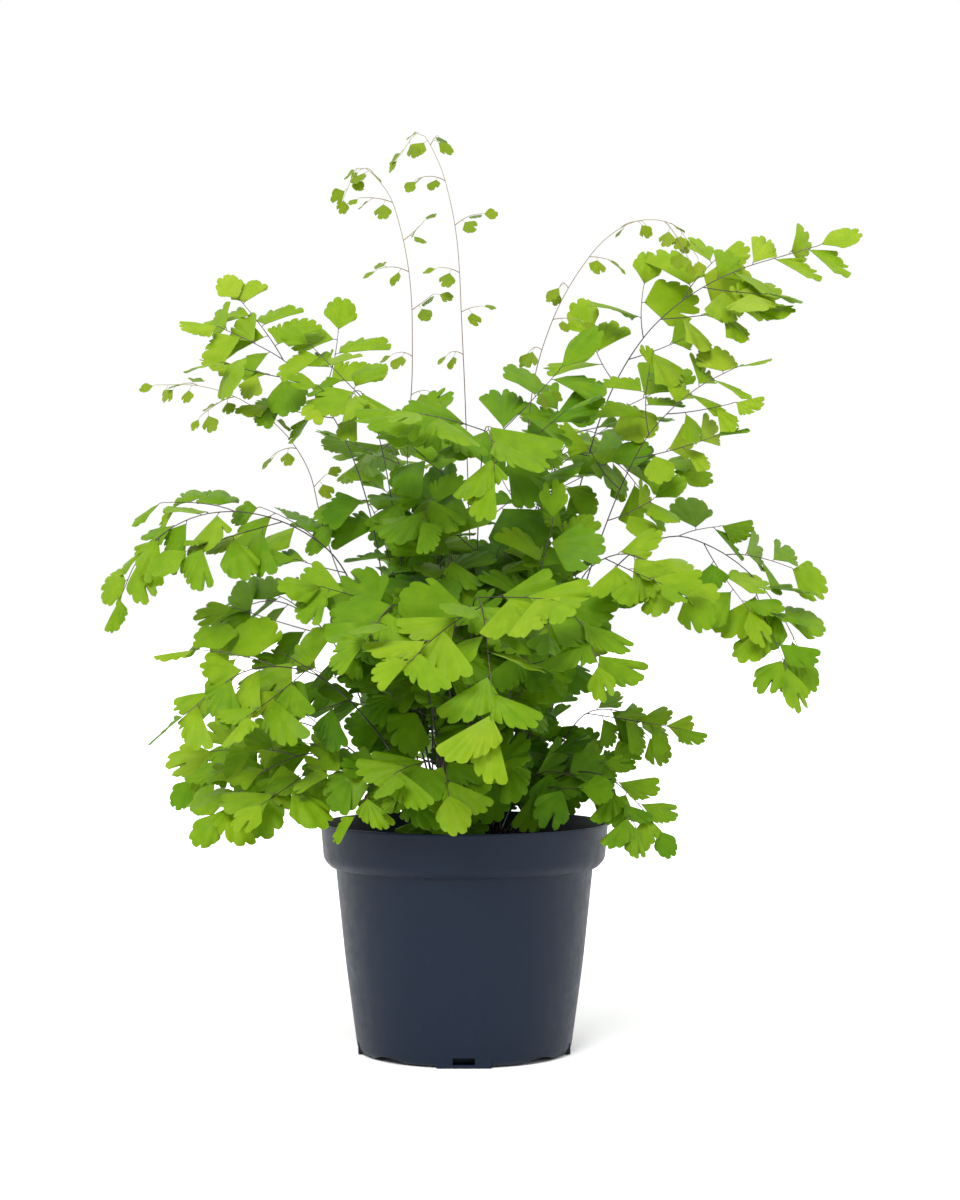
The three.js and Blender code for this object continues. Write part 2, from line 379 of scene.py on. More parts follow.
@dataclass(frozen=True)
class WiryBark:
    """Hard, polished skin of a maidenhair stalk: near black, browner and duller towards soft young ends."""

    name: str = "wiry_black_bark"

    def material(self) -> bpy.types.Material:
        """Builds the finish. "youth" runs from 0 on old bark to 1 at a soft tip.

        Returns:
            The material.
        """
        material, tree = start_material(self.name)
        youth = add_node(tree, "ShaderNodeAttribute", {"attribute_name": "youth"}).outputs["Fac"]
        place = add_node(tree, "ShaderNodeTexCoord")
        # fine lengthwise streaks about 2 mm long
        streak = add_node(
            tree,
            "ShaderNodeTexNoise",
            values={"Scale": 1 / (2 * MM), "Detail": 2.0},
            links={"Vector": place.outputs["Object"]},
        )
        shift = add_node(
            tree,
            "ShaderNodeMapRange",
            values={"To Min": -0.12, "To Max": 0.12},
            links={"Value": streak.outputs["Fac"]},
        )
        shade = add_node(tree, "ShaderNodeMath", links={0: youth, 1: shift.outputs["Result"]})
        colour = add_node(
            tree,
            "ShaderNodeValToRGB",
            links={"Fac": shade.outputs[0]},
            stops=((0.0, "#15100d"), (0.35, "#33231a"), (0.65, "#6a5238"), (1.0, "#8d8a4a")),
        )
        skin = add_node(
            tree,
            "ShaderNodeBsdfPrincipled",
            values={"Roughness": 0.32, "IOR": 1.5},
            links={"Base Color": colour.outputs["Color"]},
        )
        add_node(tree, "ShaderNodeOutputMaterial", links={"Surface": skin.outputs[0]})
        return material


@dataclass(frozen=True)
class MouldedPolypropylene:
    """Thin injection-moulded polypropylene: a soft satin shine, faintly wavy, with scuffs and some dust."""

    name: str = "moulded_polypropylene"
    colour: str = "#0a1728"
    worn: str = "#162233"

    def material(self) -> bpy.types.Material:
        """Builds the finish, with the waves of the wall and the scuffs in its roughness.

        Returns:
            The material.
        """
        material, tree = start_material(self.name)
        place = add_node(tree, "ShaderNodeTexCoord")
        # broad waves of the thin wall, about 35 mm apart
        waves = add_node(
            tree,
            "ShaderNodeTexNoise",
            values={"Scale": 1 / (35 * MM), "Detail": 1.0},
            links={"Vector": place.outputs["Object"]},
        )
        # scuffs and dust, a few millimetres across
        scuff = add_node(
            tree,
            "ShaderNodeTexNoise",
            values={"Scale": 1 / (5 * MM), "Detail": 5.0, "Roughness": 0.62},
            links={"Vector": place.outputs["Object"]},
        )
        # the grain that the mould leaves, drawn coarser than the real 0.1 mm so that it shows
        grain = add_node(
            tree,
            "ShaderNodeTexNoise",
            values={"Scale": 1 / (0.5 * MM), "Detail": 2.0},
            links={"Vector": place.outputs["Object"]},
        )
        dust = add_node(
            tree,
            "ShaderNodeMapRange",
            values={"From Min": 0.55, "From Max": 0.8, "To Min": 0.0, "To Max": 0.5},
            links={"Value": scuff.outputs["Fac"]},
        )
        colour = add_node(
            tree,
            "ShaderNodeMix",
            {"data_type": "RGBA"},
            {"A": linear(self.colour), "B": linear(self.worn)},
            {"Factor": dust.outputs["Result"]},
        )
        gloss = add_node(
            tree,
            "ShaderNodeMapRange",
            values={"From Min": 0.3, "From Max": 0.7, "To Min": 0.4, "To Max": 0.54},
            links={"Value": scuff.outputs["Fac"]},
        )
        wavy = add_node(
            tree,
            "ShaderNodeBump",
            values={"Strength": 0.25, "Distance": 0.8 * MM},
            links={"Height": waves.outputs["Fac"]},
        )
        rough = add_node(
            tree,
            "ShaderNodeBump",
            values={"Strength": 0.12, "Distance": 0.05 * MM},
            links={"Height": grain.outputs["Fac"], "Normal": wavy.outputs["Normal"]},
        )
        skin = add_node(
            tree,
            "ShaderNodeBsdfPrincipled",
            values={"IOR": 1.49, "Specular IOR Level": 0.2},
            links={
                "Base Color": colour.outputs["Result"],
                "Roughness": gloss.outputs["Result"],
                "Normal": rough.outputs["Normal"],
            },
        )
        add_node(tree, "ShaderNodeOutputMaterial", links={"Surface": skin.outputs[0]})
        return material


@dataclass(frozen=True)
class LooseEarth:
    """Crumbly matter with no shine, such as peat, perlite or bark: its colour drifts from crumb to crumb."""

    name: str
    dark: str
    light: str
    grain_mm: float
    depth_mm: float

    def material(self) -> bpy.types.Material:
        """Builds the finish, with a grain of the given size in both colour and bump.

        Returns:
            The material.
        """
        material, tree = start_material(self.name)
        place = add_node(tree, "ShaderNodeTexCoord")
        grain = add_node(
            tree,
            "ShaderNodeTexNoise",
            values={"Scale": 1 / (self.grain_mm * MM), "Detail": 6.0, "Roughness": 0.65},
            links={"Vector": place.outputs["Object"]},
        )
        colour = add_node(
            tree,
            "ShaderNodeValToRGB",
            links={"Fac": grain.outputs["Fac"]},
            stops=((0.35, self.dark), (0.7, self.light)),
        )
        bump = add_node(
            tree,
            "ShaderNodeBump",
            values={"Strength": 0.8, "Distance": self.depth_mm * MM},
            links={"Height": grain.outputs["Fac"]},
        )
        skin = add_node(
            tree,
            "ShaderNodeBsdfPrincipled",
            values={"Roughness": 0.9, "Specular IOR Level": 0.25},
            links={"Base Color": colour.outputs["Color"], "Normal": bump.outputs["Normal"]},
        )
        add_node(tree, "ShaderNodeOutputMaterial", links={"Surface": skin.outputs[0]})
        return material


# ---------- leaflets ----------


@dataclass(frozen=True)
class OutlinePlan:
    """A fan-shaped outline, one unit long, that grows out of a rounded box.

    Angles are in degrees from the leaflet's own axis. Width is half the box's, and squareness is 2 for an
    ellipse and more for a box with tighter corners.
    """

    low: float
    high: float
    width: float
    squareness: float
    lobes: tuple[int, ...]
    cleft: float


class Outline(Enum):
    """The outlines that leaflets come in."""

    FAN = OutlinePlan(-54, 54, 0.52, 2.6, (7, 6, 8, 7), 0.36)
    LEFT_HALF = OutlinePlan(-82, 6, 0.5, 3.0, (7, 6, 8, 7, 6), 0.32)
    RIGHT_HALF = OutlinePlan(-6, 82, 0.5, 3.0, (6, 8, 7, 6, 7), 0.32)
    CLEFT = OutlinePlan(-42, 42, 0.42, 2.6, (5, 6, 5), 0.48)
    BUD = OutlinePlan(-50, 50, 0.5, 2.4, (3, 4, 3), 0.3)


@dataclass(frozen=True)
class LeafletForm:
    """One leaflet, one unit long, that opens like a fan from its stalk at the origin and points along +X."""

    outline: Outline
    low: float
    high: float
    notches: tuple[float, ...]
    cup: float
    bend: float
    ripple: float
    thickness: float = 0.014

    LOBE_STEPS = ((0.0, 1.0), (0.2, 0.22), (0.46, 0.0), (0.8, 0.1))

    def reach(self, share: float) -> float:
        """How far the rim would lie from the stalk if it had no lobes.

        Args:
            share: The place across the fan, from 0 to 1.

        Returns:
            The distance, as a share of the leaflet's length.
        """
        plan = self.outline.value
        angle = self.low + (self.high - self.low) * share
        along = abs(math.cos(angle)) ** plan.squareness
        across = (abs(math.sin(angle)) / plan.width) ** plan.squareness
        return (along + across) ** (-1 / plan.squareness)

    def rim(self) -> list[tuple[float, float]]:
        """Lays out the corners of the lobed rim.

        Returns:
            The places across the fan that get a corner, each with how deep the rim is cut back there.
        """
        lobes = len(self.notches) - 1
        corners: list[tuple[float, float]] = []
        for lobe in range(lobes):
            for within, depth in self.LOBE_STEPS:
                notch = self.notches[lobe] if within < 0.5 else self.notches[lobe + 1]
                corners.append(((lobe + within) / lobes, depth * notch))
        corners.append((1.0, self.notches[-1]))
        return corners

    def point(self, share: float, out: float, cut: float = 0.0) -> Vector:
        """A place on the blade's middle surface.

        Args:
            share: Across the fan, from 0 to 1.
            out: Out from the stalk, as a share of the way to the rim.
            cut: How deep the rim is cut back there.

        Returns:
            The place.
        """
        angle = self.low + (self.high - self.low) * share
        reach = self.reach(share) * out * (1 - cut)
        wave = self.ripple * math.sin(math.pi * (len(self.notches) + 1) * share)
        lift = self.cup * (2 * share - 1) ** 2 * out - self.bend * out**2 + wave * out**2
        return Vector((reach * math.cos(angle), reach * math.sin(angle), lift))

    def build(self, name: str) -> bpy.types.Object:
        """Builds the leaflet as a thin closed shell.

        Args:
            name: The object's name.

        Returns:
            The object, linked to no collection.
        """
        rim = self.rim()
        count = len(rim)
        half = Vector((0, 0, self.thickness / 2))
        points: list[Vector] = []
        spots: list[tuple[float, float]] = []
        for sign in (1, -1):
            points.append(sign * half)
            spots.append((0.5, 0.0))
            for out, lobed in ((0.58, 0.0), (1.0, 1.0)):
                for share, cut in rim:
                    points.append(self.point(share, out, cut * lobed) + sign * half * (1.2 - 0.6 * out))
                    spots.append((share, out))
        layer = 1 + 2 * count
        faces: list[tuple[int, ...]] = []
        for i in range(1, count):
            faces.append((0, i, i + 1))
            faces.append((i, count + i, count + i + 1, i + 1))
        faces += [tuple(layer + corner for corner in reversed(face)) for face in faces]
        edge = [0, 1] + [1 + count + i for i in range(count)] + [count]
        for here, there in zip(edge, edge[1:] + edge[:1]):
            faces.append((there, here, layer + here, layer + there))
        mesh = bpy.data.meshes.new(name)
        mesh.from_pydata([tuple(p) for p in points], [], faces)
        uv = mesh.uv_layers.new(name="UVMap")
        for loop in mesh.loops:
            uv.data[loop.index].uv = spots[loop.vertex_index]
        under = mesh.attributes.new("under", "FLOAT", "POINT")
        under.data.foreach_set("value", [0.0] * layer + [1.0] * layer)
        mesh.update()
        sharpen(mesh, 60)
        return bpy.data.objects.new(name, mesh)

    def proxy(self) -> tuple[list[Vector], list[tuple[int, int, int]]]:
        """Stands in for the leaflet when it is tested for cutting through others.

        Returns:
            The corners and the triangles of a plain fan.
        """
        across = (0.0, 0.33, 0.67, 1.0)
        near = [self.point(share, 0.25) for share in (0.0, 1.0)]
        far = [self.point(share, 0.95) for share in across]
        return near + far, [(0, 2, 3), (0, 3, 1), (1, 3, 4), (1, 4, 5)]


def leaflet_forms() -> list[LeafletForm]:
    """Draws up the leaflets that the plant's are copied from: a few of each outline, none quite alike.

    Returns:
        The forms, in the order of their outlines.
    """
    dice = random.Random(41)
    forms: list[LeafletForm] = []
    for outline in Outline:
        plan = outline.value
        for lobes in plan.lobes:
            notches = [dice.uniform(0.04, 0.13) for _ in range(lobes + 1)]
            if dice.random() < 0.75:
                notches[dice.randrange(1, lobes)] = plan.cleft * dice.uniform(0.6, 1.2)
            forms.append(
                LeafletForm(
                    outline=outline,
                    low=math.radians(plan.low + dice.uniform(-4, 4)),
                    high=math.radians(plan.high + dice.uniform(-4, 4)),
                    notches=tuple(notches),
                    cup=dice.uniform(-0.12, 0.1),
                    bend=dice.uniform(0.02, 0.16),
                    ripple=dice.uniform(0.01, 0.035),
                )
            )
    return forms


# ---------- paths ----------


class Path:
    """A smooth line through points, measured along its length."""

    def __init__(self, knots: Sequence[Vector], step: float = 3 * MM) -> None:
        """Draws the line.

        Args:
            knots: The points that it runs through.
            step: About how far apart its samples lie.
        """
        ends = [2 * knots[0] - knots[1], *knots, 2 * knots[-1] - knots[-2]]
        samples: list[Vector] = []
        for a, b, c, d in zip(ends, ends[1:], ends[2:], ends[3:]):
            count = max(2, round((c - b).length / step))
            for i in range(count):
                t = i / count
                square = (2 * a - 5 * b + 4 * c - d) * t**2
                cube = (3 * b - a - 3 * c + d) * t**3
                samples.append(0.5 * (2 * b + (c - a) * t + square + cube))
        samples.append(knots[-1].copy())
        self.samples = np.array([tuple(s) for s in samples])
        gaps = np.linalg.norm(np.diff(self.samples, axis=0), axis=1)
        self.marks = np.concatenate([[0.0], np.cumsum(gaps)])
        self.length = float(self.marks[-1])

    def at(self, along: float) -> Vector:
        """The point at a distance along the line."""
        return Vector([float(np.interp(along, self.marks, self.samples[:, k])) for k in range(3)])

    def run(self, along: float) -> Vector:
        """The direction of the line at a distance along it."""
        ahead = self.at(min(along + 2 * MM, self.length))
        return (ahead - self.at(max(along - 2 * MM, 0.0))).normalized()

    def nearest(self, point: Vector) -> float:
        """The distance along the line of its sample nearest to a point."""
        return float(self.marks[np.argmin(np.linalg.norm(self.samples - np.array(point), axis=1))])


RING_REACH = 2.2 * MM  # corners of a stem's mesh that lie this close belong to one ring


def stem_path(node: str, root: Vector) -> Path:
    """Reads the middle line of a stem in the frame.

    Args:
        node: The stem's node, a thin rod of short straight lengths.
        root: A point near its lower end.

    Returns:
        The line from the root to the tip.
    """
    rings: list[list[Vector]] = []
    seen: set[tuple[float, ...]] = set()
    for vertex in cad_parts[node].data.vertices:
        key = tuple(round(c / MM, 2) for c in vertex.co)
        if key in seen:
            continue
        seen.add(key)
        home = next((ring for ring in rings if (ring[0] - vertex.co).length < RING_REACH), None)
        if home is None:
            rings.append([vertex.co.copy()])
        else:
            home.append(vertex.co.copy())
    centres = [sum(ring, Vector()) / len(ring) for ring in rings]
    here = min(centres, key=lambda c: (c - root).length)
    chain = [here]
    centres.remove(here)
    while centres:
        here = min(centres, key=lambda c: (c - chain[-1]).length)
        chain.append(here)
        centres.remove(here)
    return Path(chain)


# ---------- fronds ----------


@dataclass(frozen=True)
class HabitSizes:
    """How one kind of frond grows. Lengths are in millimetres.

    Past the comb share of its leafy part, the frond bears single leaflets in place of branches.
    """

    leaflet: float
    pitch: float
    branch: float
    stalk: float
    base_radius: float
    tip_radius: float
    tone: float
    droop: float
    comb: float
    climb: float = 0.3
    spacing: float = 0.34
    youth: float = 0.0
    young: bool = False


class Habit(Enum):
    """The kinds of frond, by the first word of their frame nodes' names."""

    YOUNG = HabitSizes(7.5, 17, 13, 2.4, 0.42, 0.13, 0.36, 0.8, 0.85, 0.5, 0.7, 0.5, True)
    HIGH = HabitSizes(20, 12, 33, 1.6, 0.55, 0.18, 0.66, 0.12, 0.66, 0.45)
    WIDE = HabitSizes(22, 14, 34, 1.8, 0.6, 0.18, 0.62, 0.22, 0.58)
    LOW = HabitSizes(21, 13, 31, 1.6, 0.55, 0.18, 0.62, 0.28, 0.55)
    # the inner fronds' lower tone is painted shade for the plant's dark middle
    INNER = HabitSizes(20, 13, 27, 1.6, 0.5, 0.17, 0.54, 0.25, 0.5, 0.4)


@dataclass(frozen=True)
class Trait:
    """How one frond differs from its kind.

    Leaflet and branch scale the lengths of those, and pitch the distance between branches. Tone and droop are
    added to the kind's. Bare is the share of the frame's leafy part, from its lower end, that bears none.
    """

    leaflet: float = 1.0
    pitch: float = 1.0
    branch: float = 1.0
    tone: float = 0.0
    bare: float = 0.0
    droop: float = 0.0


TRAITS = {
    "high_frond_1": Trait(leaflet=1.15, pitch=1.1, tone=0.04, bare=0.1, droop=-0.1),
    "high_frond_2": Trait(leaflet=0.9, tone=0.02, bare=0.2),
    "high_frond_3": Trait(leaflet=1.05, branch=1.2, tone=0.04, bare=0.4, droop=0.1),
    "high_frond_4": Trait(leaflet=0.95, tone=0.02, bare=0.45, droop=0.25),
    "high_frond_5": Trait(leaflet=1.35, branch=1.25, tone=-0.14, droop=0.15),
    "high_frond_6": Trait(leaflet=1.1, tone=-0.1, bare=0.15),
    "high_frond_7": Trait(leaflet=0.9, branch=0.8, bare=0.3),
    "high_frond_8": Trait(leaflet=0.9, branch=0.8, bare=0.3),
    "wide_frond_1": Trait(leaflet=0.95, pitch=1.2, droop=0.3, tone=-0.04),
    "wide_frond_2": Trait(tone=-0.04, droop=0.1),
    "wide_frond_4": Trait(leaflet=0.9, branch=0.8, bare=0.2),
    "wide_frond_5": Trait(leaflet=1.05, bare=0.4, tone=-0.06, droop=-0.1),
    "wide_frond_6": Trait(leaflet=1.15, branch=1.1, tone=-0.06, droop=-0.1),
    "wide_frond_7": Trait(leaflet=1.1, branch=1.1, tone=-0.08),
    "wide_frond_8": Trait(leaflet=1.05, branch=1.1, tone=-0.1),
    "low_frond_1": Trait(leaflet=1.1, branch=1.2, tone=0.06),
    "low_frond_2": Trait(leaflet=1.05, branch=1.1, tone=0.02),
    "low_frond_3": Trait(leaflet=0.8, branch=0.6, tone=0.0, droop=-0.1),
    "low_frond_4": Trait(leaflet=0.75, branch=1.2, tone=0.06),
    "low_frond_5": Trait(leaflet=1.0, branch=0.85, tone=0.04),
    "low_frond_6": Trait(leaflet=0.9, branch=0.85),
}


@dataclass
class Leaflet:
    """One placed leaflet."""

    base: Vector
    outward: Vector
    face: Vector
    size: float
    form: int
    tone: float


@dataclass
class Twig:
    """A stretch of stalk: its points, and its radius and youth at each."""

    points: list[Vector]
    radii: list[float]
    youth: list[float]


class Crowd:
    """Everything that has grown so far, as triangles, so that new leaflets can keep clear of it."""

    def __init__(self) -> None:
        """Starts with nothing."""
        self.points: list[Vector] = []
        self.faces: list[tuple[int, int, int]] = []
        self.tree: BVHTree | None = None

    def add(self, points: Sequence[Vector], faces: Sequence[tuple[int, int, int]]) -> None:
        """Adds triangles. They count once settle() has run.

        Args:
            points: Their corners.
            faces: Corner numbers of each triangle.
        """
        first = len(self.points)
        self.points.extend(points)
        self.faces.extend(tuple(first + corner for corner in face) for face in faces)

    def settle(self) -> None:
        """Takes the added triangles into account."""
        if self.faces:
            self.tree = BVHTree.FromPolygons(self.points, self.faces)

    def hits(self, points: Sequence[Vector], faces: Sequence[tuple[int, int, int]]) -> int:
        """Counts the crossings of new triangles with the crowd.

        Args:
            points: Their corners.
            faces: Corner numbers of each triangle.

        Returns:
            How many pairs of triangles cross.
        """
        if self.tree is None:
            return 0
        return len(self.tree.overlap(BVHTree.FromPolygons(points, faces)))


# how leaflets turn: in full to a side at SIDE_REACH from the plant's middle, and from back to front over
# BACK_DEPTH on each side of BACK_MIDDLE, a turn that UPPER_LOSS weakens over UPPER_DEPTH above UPPER_START
SIDE_REACH = 150 * MM
SIDE_TURN = 0.3
BACK_MIDDLE = 65 * MM
BACK_DEPTH = 45 * MM
BACK_TURN = 0.68
UPPER_START = 160 * MM
UPPER_DEPTH = 110 * MM
UPPER_LOSS = 0.16
UPWARD_TURN = 0.65


def light_at(place: Vector) -> Vector:
    """The way that leaflets turn their faces at a place: up, away from the plant's middle, and to the light.

    Args:
        place: The place.

    Returns:
        The direction.
    """
    aside = place.x / SIDE_REACH
    ahead = max(-1.0, min(1.0, (place.y - BACK_MIDDLE) / BACK_DEPTH))
    height = min(1.0, max(0.0, (place.z - UPPER_START) / UPPER_DEPTH))
    return Vector((SIDE_TURN * aside, (BACK_TURN - UPPER_LOSS * height) * ahead, UPWARD_TURN)).normalized()


@dataclass
class Frond:
    """One frond, grown along its stem in the frame."""

    name: str
    habit: HabitSizes
    trait: Trait
    path: Path
    blade_start: float
    forms: list[LeafletForm]
    dice: random.Random
    leaflets: list[Leaflet] = field(default_factory=list)
    twigs: list[Twig] = field(default_factory=list)

    TRIES = 8

    @staticmethod
    def face_across(place: Vector, run: Vector) -> Vector:
        """The way that the upper face of a stretch of stem turns: square to it, and to the light."""
        light = light_at(place)
        return (light - run * light.dot(run)).normalized()

    def blade_share(self, along: float) -> float:
        """How far along its leafy part a place on the stem lies, from 0 to 1."""
        return (along - self.blade_start) / (self.path.length - self.blade_start)

    def radius(self, along: float) -> float:
        """Tapers the stem, quickly at first.

        Args:
            along: The distance along it.

        Returns:
            Its radius there.
        """
        share = along / self.path.length
        sizes = self.habit
        return (sizes.base_radius + (sizes.tip_radius - sizes.base_radius) * share**0.55) * MM

    def tone_with_painted_light(self, place: Vector) -> float:
        """Shades the leaves, partly by their own colour and partly with painted light and shade: lighter to
        the outside, the top and the front, darker inside and low.

        Args:
            place: The place.

        Returns:
            Their tone there, which leaflets vary a little from.
        """
        # painted light and shade by place, along with some of the leaves' own colour: lighter outside, high
        # up and in front, darker inside and low
        outside = min(1.0, math.hypot(place.x, place.y) / (120 * MM))
        height = min(1.0, max(0.0, (place.z - 100 * MM) / (200 * MM)))
        ahead = max(0.0, -place.y / (100 * MM))
        shift = 0.24 * (outside - 0.6) + 0.16 * (height - 0.5) + 0.14 * ahead
        return self.habit.tone + self.trait.tone + shift

    def grow_stem(self) -> None:
        """Grows the stem from just inside the rhizome to the tip."""
        step = 4 * MM
        count = max(8, round(self.path.length / step))
        root = self.path.at(0) - self.path.run(0) * 3 * MM
        twig = Twig([root], [self.radius(0)], [self.habit.youth])
        for i in range(count + 1):
            along = self.path.length * i / count
            twig.points.append(self.path.at(along))
            twig.radii.append(self.radius(along))
            young = max(0.0, self.blade_share(along)) * 0.5
            twig.youth.append(min(1.0, self.habit.youth + young))
        self.twigs.append(twig)

    def pick_form(self, side: int) -> int:
        """Picks a leaflet form by chance.

        Args:
            side: The side of the branch that it grows on: 1 is left, -1 right, 0 the end.

        Returns:
            The form's number.
        """
        dice = self.dice
        chance = dice.random()
        if self.habit.young:
            wanted = Outline.BUD
        elif chance < (0.14 if side else 0.5):
            wanted = Outline.CLEFT
        elif chance < (0.92 if side else 0.85):
            wanted = Outline.LEFT_HALF if (side or dice.choice((1, -1))) > 0 else Outline.RIGHT_HALF
        else:
            wanted = Outline.FAN
        fitting = [i for i, form in enumerate(self.forms) if form.outline is wanted]
        return dice.choice(fitting)

    def try_leaflet(self, joint: Vector, run: Vector, face: Vector, side: int, size: float) -> Leaflet:
        """Places one leaflet by chance: swept off its branch, drooping, and a little rolled.

        Args:
            joint: Where its stalk leaves the branch.
            run: The branch's direction there.
            face: The way that the branch's upper face turns.
            side: 1 for left, -1 for right, 0 for the end of the branch.
            size: The leaflet's length.

        Returns:
            The leaflet.
        """
        dice = self.dice
        sweep = side * dice.uniform(1.0, 1.4) if side else dice.uniform(-0.25, 0.25)
        outward = Quaternion(face, sweep) @ run
        droop = self.habit.droop + self.trait.droop
        outward = (outward - UP * droop * dice.uniform(0.3, 1.4)).normalized()
        light = light_at(joint)
        normal = (light - outward * light.dot(outward)).normalized()
        normal = Quaternion(outward, dice.gauss(0, 0.32)) @ normal
        stalk = self.habit.stalk * MM * dice.uniform(0.7, 1.3)
        base = joint + (outward * 0.8 + run * 0.2).normalized() * stalk
        # painted light and shade by place with the leaves' own colour, and a little chance on top
        tone = self.tone_with_painted_light(base) + dice.gauss(0, 0.08)
        return Leaflet(base, outward, normal, size, self.pick_form(side), min(1.0, max(0.0, tone)))

    def proxy_of(self, leaflet: Leaflet) -> tuple[list[Vector], list[tuple[int, int, int]]]:
        """Stands in for a placed leaflet when it is tested for crossings.

        Args:
            leaflet: The leaflet.

        Returns:
            The corners and the triangles of a plain fan in its place.
        """
        points, faces = self.forms[leaflet.form].proxy()
        across = leaflet.face.cross(leaflet.outward)
        turn = Matrix((leaflet.outward, across, leaflet.face)).transposed()
        return [leaflet.base + (turn @ p) * leaflet.size for p in points], faces

    def add_leaflet(
        self, crowd: Crowd, joint: Vector, run: Vector, face: Vector, side: int, size: float
    ) -> None:
        """Grows one leaflet on a stalk of its own, or leaves it off where every try meets too much.

        Later tries are smaller and may cross a little of what has grown.

        Args:
            crowd: What has grown so far.
            joint: Where its stalk leaves the branch.
            run: The branch's direction there.
            face: The way that the branch's upper face turns.
            side: 1 for left, -1 for right, 0 for the end of the branch.
            size: The leaflet's length.
        """
        for attempt in range(self.TRIES):
            shrunk = size * self.dice.uniform(0.84, 1.14) * (1 - 0.04 * attempt)
            leaflet = self.try_leaflet(joint, run, face, side, shrunk)
            points, faces = self.proxy_of(leaflet)
            if crowd.hits(points, faces) <= attempt // 3:
                break
        else:
            return
        crowd.add(points, faces)
        self.leaflets.append(leaflet)
        bend = joint.lerp(leaflet.base, 0.5) + face * 0.3 * MM
        tip = leaflet.base + leaflet.outward * 0.05 * leaflet.size
        thin = 0.1 * MM if self.is_small(size) else 0.16 * MM
        youth = min(1.0, self.habit.youth + 0.35)
        radii = [thin * 1.2, thin, thin * 0.9]
        self.twigs.append(Twig([joint, bend, tip], radii, [youth - 0.1, youth, youth]))

    @staticmethod
    def is_small(size: float) -> bool:
        """Whether a leaflet is a small one, on a thinner stalk."""
        return size <= 8 * MM

    def add_comb(self, crowd: Crowd, line: Path, start: float, size: float, side: int) -> None:
        """Grows leaflets turn about along a line, from a place on it to its end.

        Args:
            crowd: What has grown so far.
            line: The branch, or the frond's own stem.
            start: Where the first leaflet stands.
            size: The first leaflet's length. They shrink a little towards the end.
            side: The first leaflet's side: 1 for left, -1 for right.
        """
        step = self.habit.spacing * size
        along = start
        while along < line.length - 0.3 * step:
            run = line.run(along)
            face = self.face_across(line.at(along), run)
            share = (along - start) / max(line.length - start, step)
            self.add_leaflet(crowd, line.at(along), run, face, side, size * (1 - 0.08 * share))
            side = -side
            along += step * self.dice.uniform(0.8, 1.2)
        end, run = line.at(line.length), line.run(line.length)
        self.add_leaflet(crowd, end, run, self.face_across(end, run), 0, size * 0.78)
        crowd.settle()

    def add_branch(self, crowd: Crowd, along: float, side: int, reach: float, size: float) -> None:
        """Grows a side branch with its leaflets.

        Args:
            crowd: What has grown so far.
            along: Where it leaves the stem.
            side: 1 for left, -1 for right.
            reach: Its length.
            size: Its leaflets' length.
        """
        dice = self.dice
        start = self.path.at(along)
        run = self.path.run(along)
        face = self.face_across(start, run)
        first = Quaternion(face, side * dice.uniform(0.7, 1.0)) @ run
        first.z = min(first.z, self.habit.climb)
        first.normalize()
        curl = run * 0.3 - UP * self.habit.droop * dice.uniform(0.3, 1.2) + face * dice.uniform(-0.1, 0.12)
        bends = 6
        shares = [i / bends for i in range(bends + 1)]
        branch = Path([start + reach * (first * share + curl * share**2) for share in shares])
        thick = max(0.16, self.habit.tip_radius * 1.1) * MM
        rings = 8
        marks = [branch.length * i / rings for i in range(rings + 1)]
        youth = min(1.0, self.habit.youth + 0.2)
        self.twigs.append(
            Twig(
                [branch.at(m) for m in marks],
                [thick * (1.25 - 0.5 * m / branch.length) for m in marks],
                [youth + 0.15 * m / branch.length for m in marks],
            )
        )
        self.add_comb(crowd, branch, 0.45 * size, size, side)

    def grow(self, crowd: Crowd) -> None:
        """Grows the stem, the comb of leaflets at its end, and the branches below that, turn about.

        Args:
            crowd: What has grown so far, which the frond joins.
        """
        self.grow_stem()
        sizes, trait = self.habit, self.trait
        blade = self.path.length - self.blade_start
        size = sizes.leaflet * trait.leaflet * MM
        comb_start = self.blade_start + sizes.comb * blade
        self.add_comb(crowd, self.path, comb_start, size, 1)
        side = -1
        along = comb_start - 0.3 * size
        while along > self.blade_start:
            down = (comb_start - along) / (comb_start - self.blade_start)
            reach = sizes.branch * trait.branch * MM * (0.6 + 0.4 * math.sin(math.pi * min(1.0, 0.2 + down)))
            self.add_branch(crowd, along, side, reach * self.dice.uniform(0.75, 1.1), size)
            side = -side
            along -= sizes.pitch * trait.pitch * MM * self.dice.uniform(0.75, 1.2)


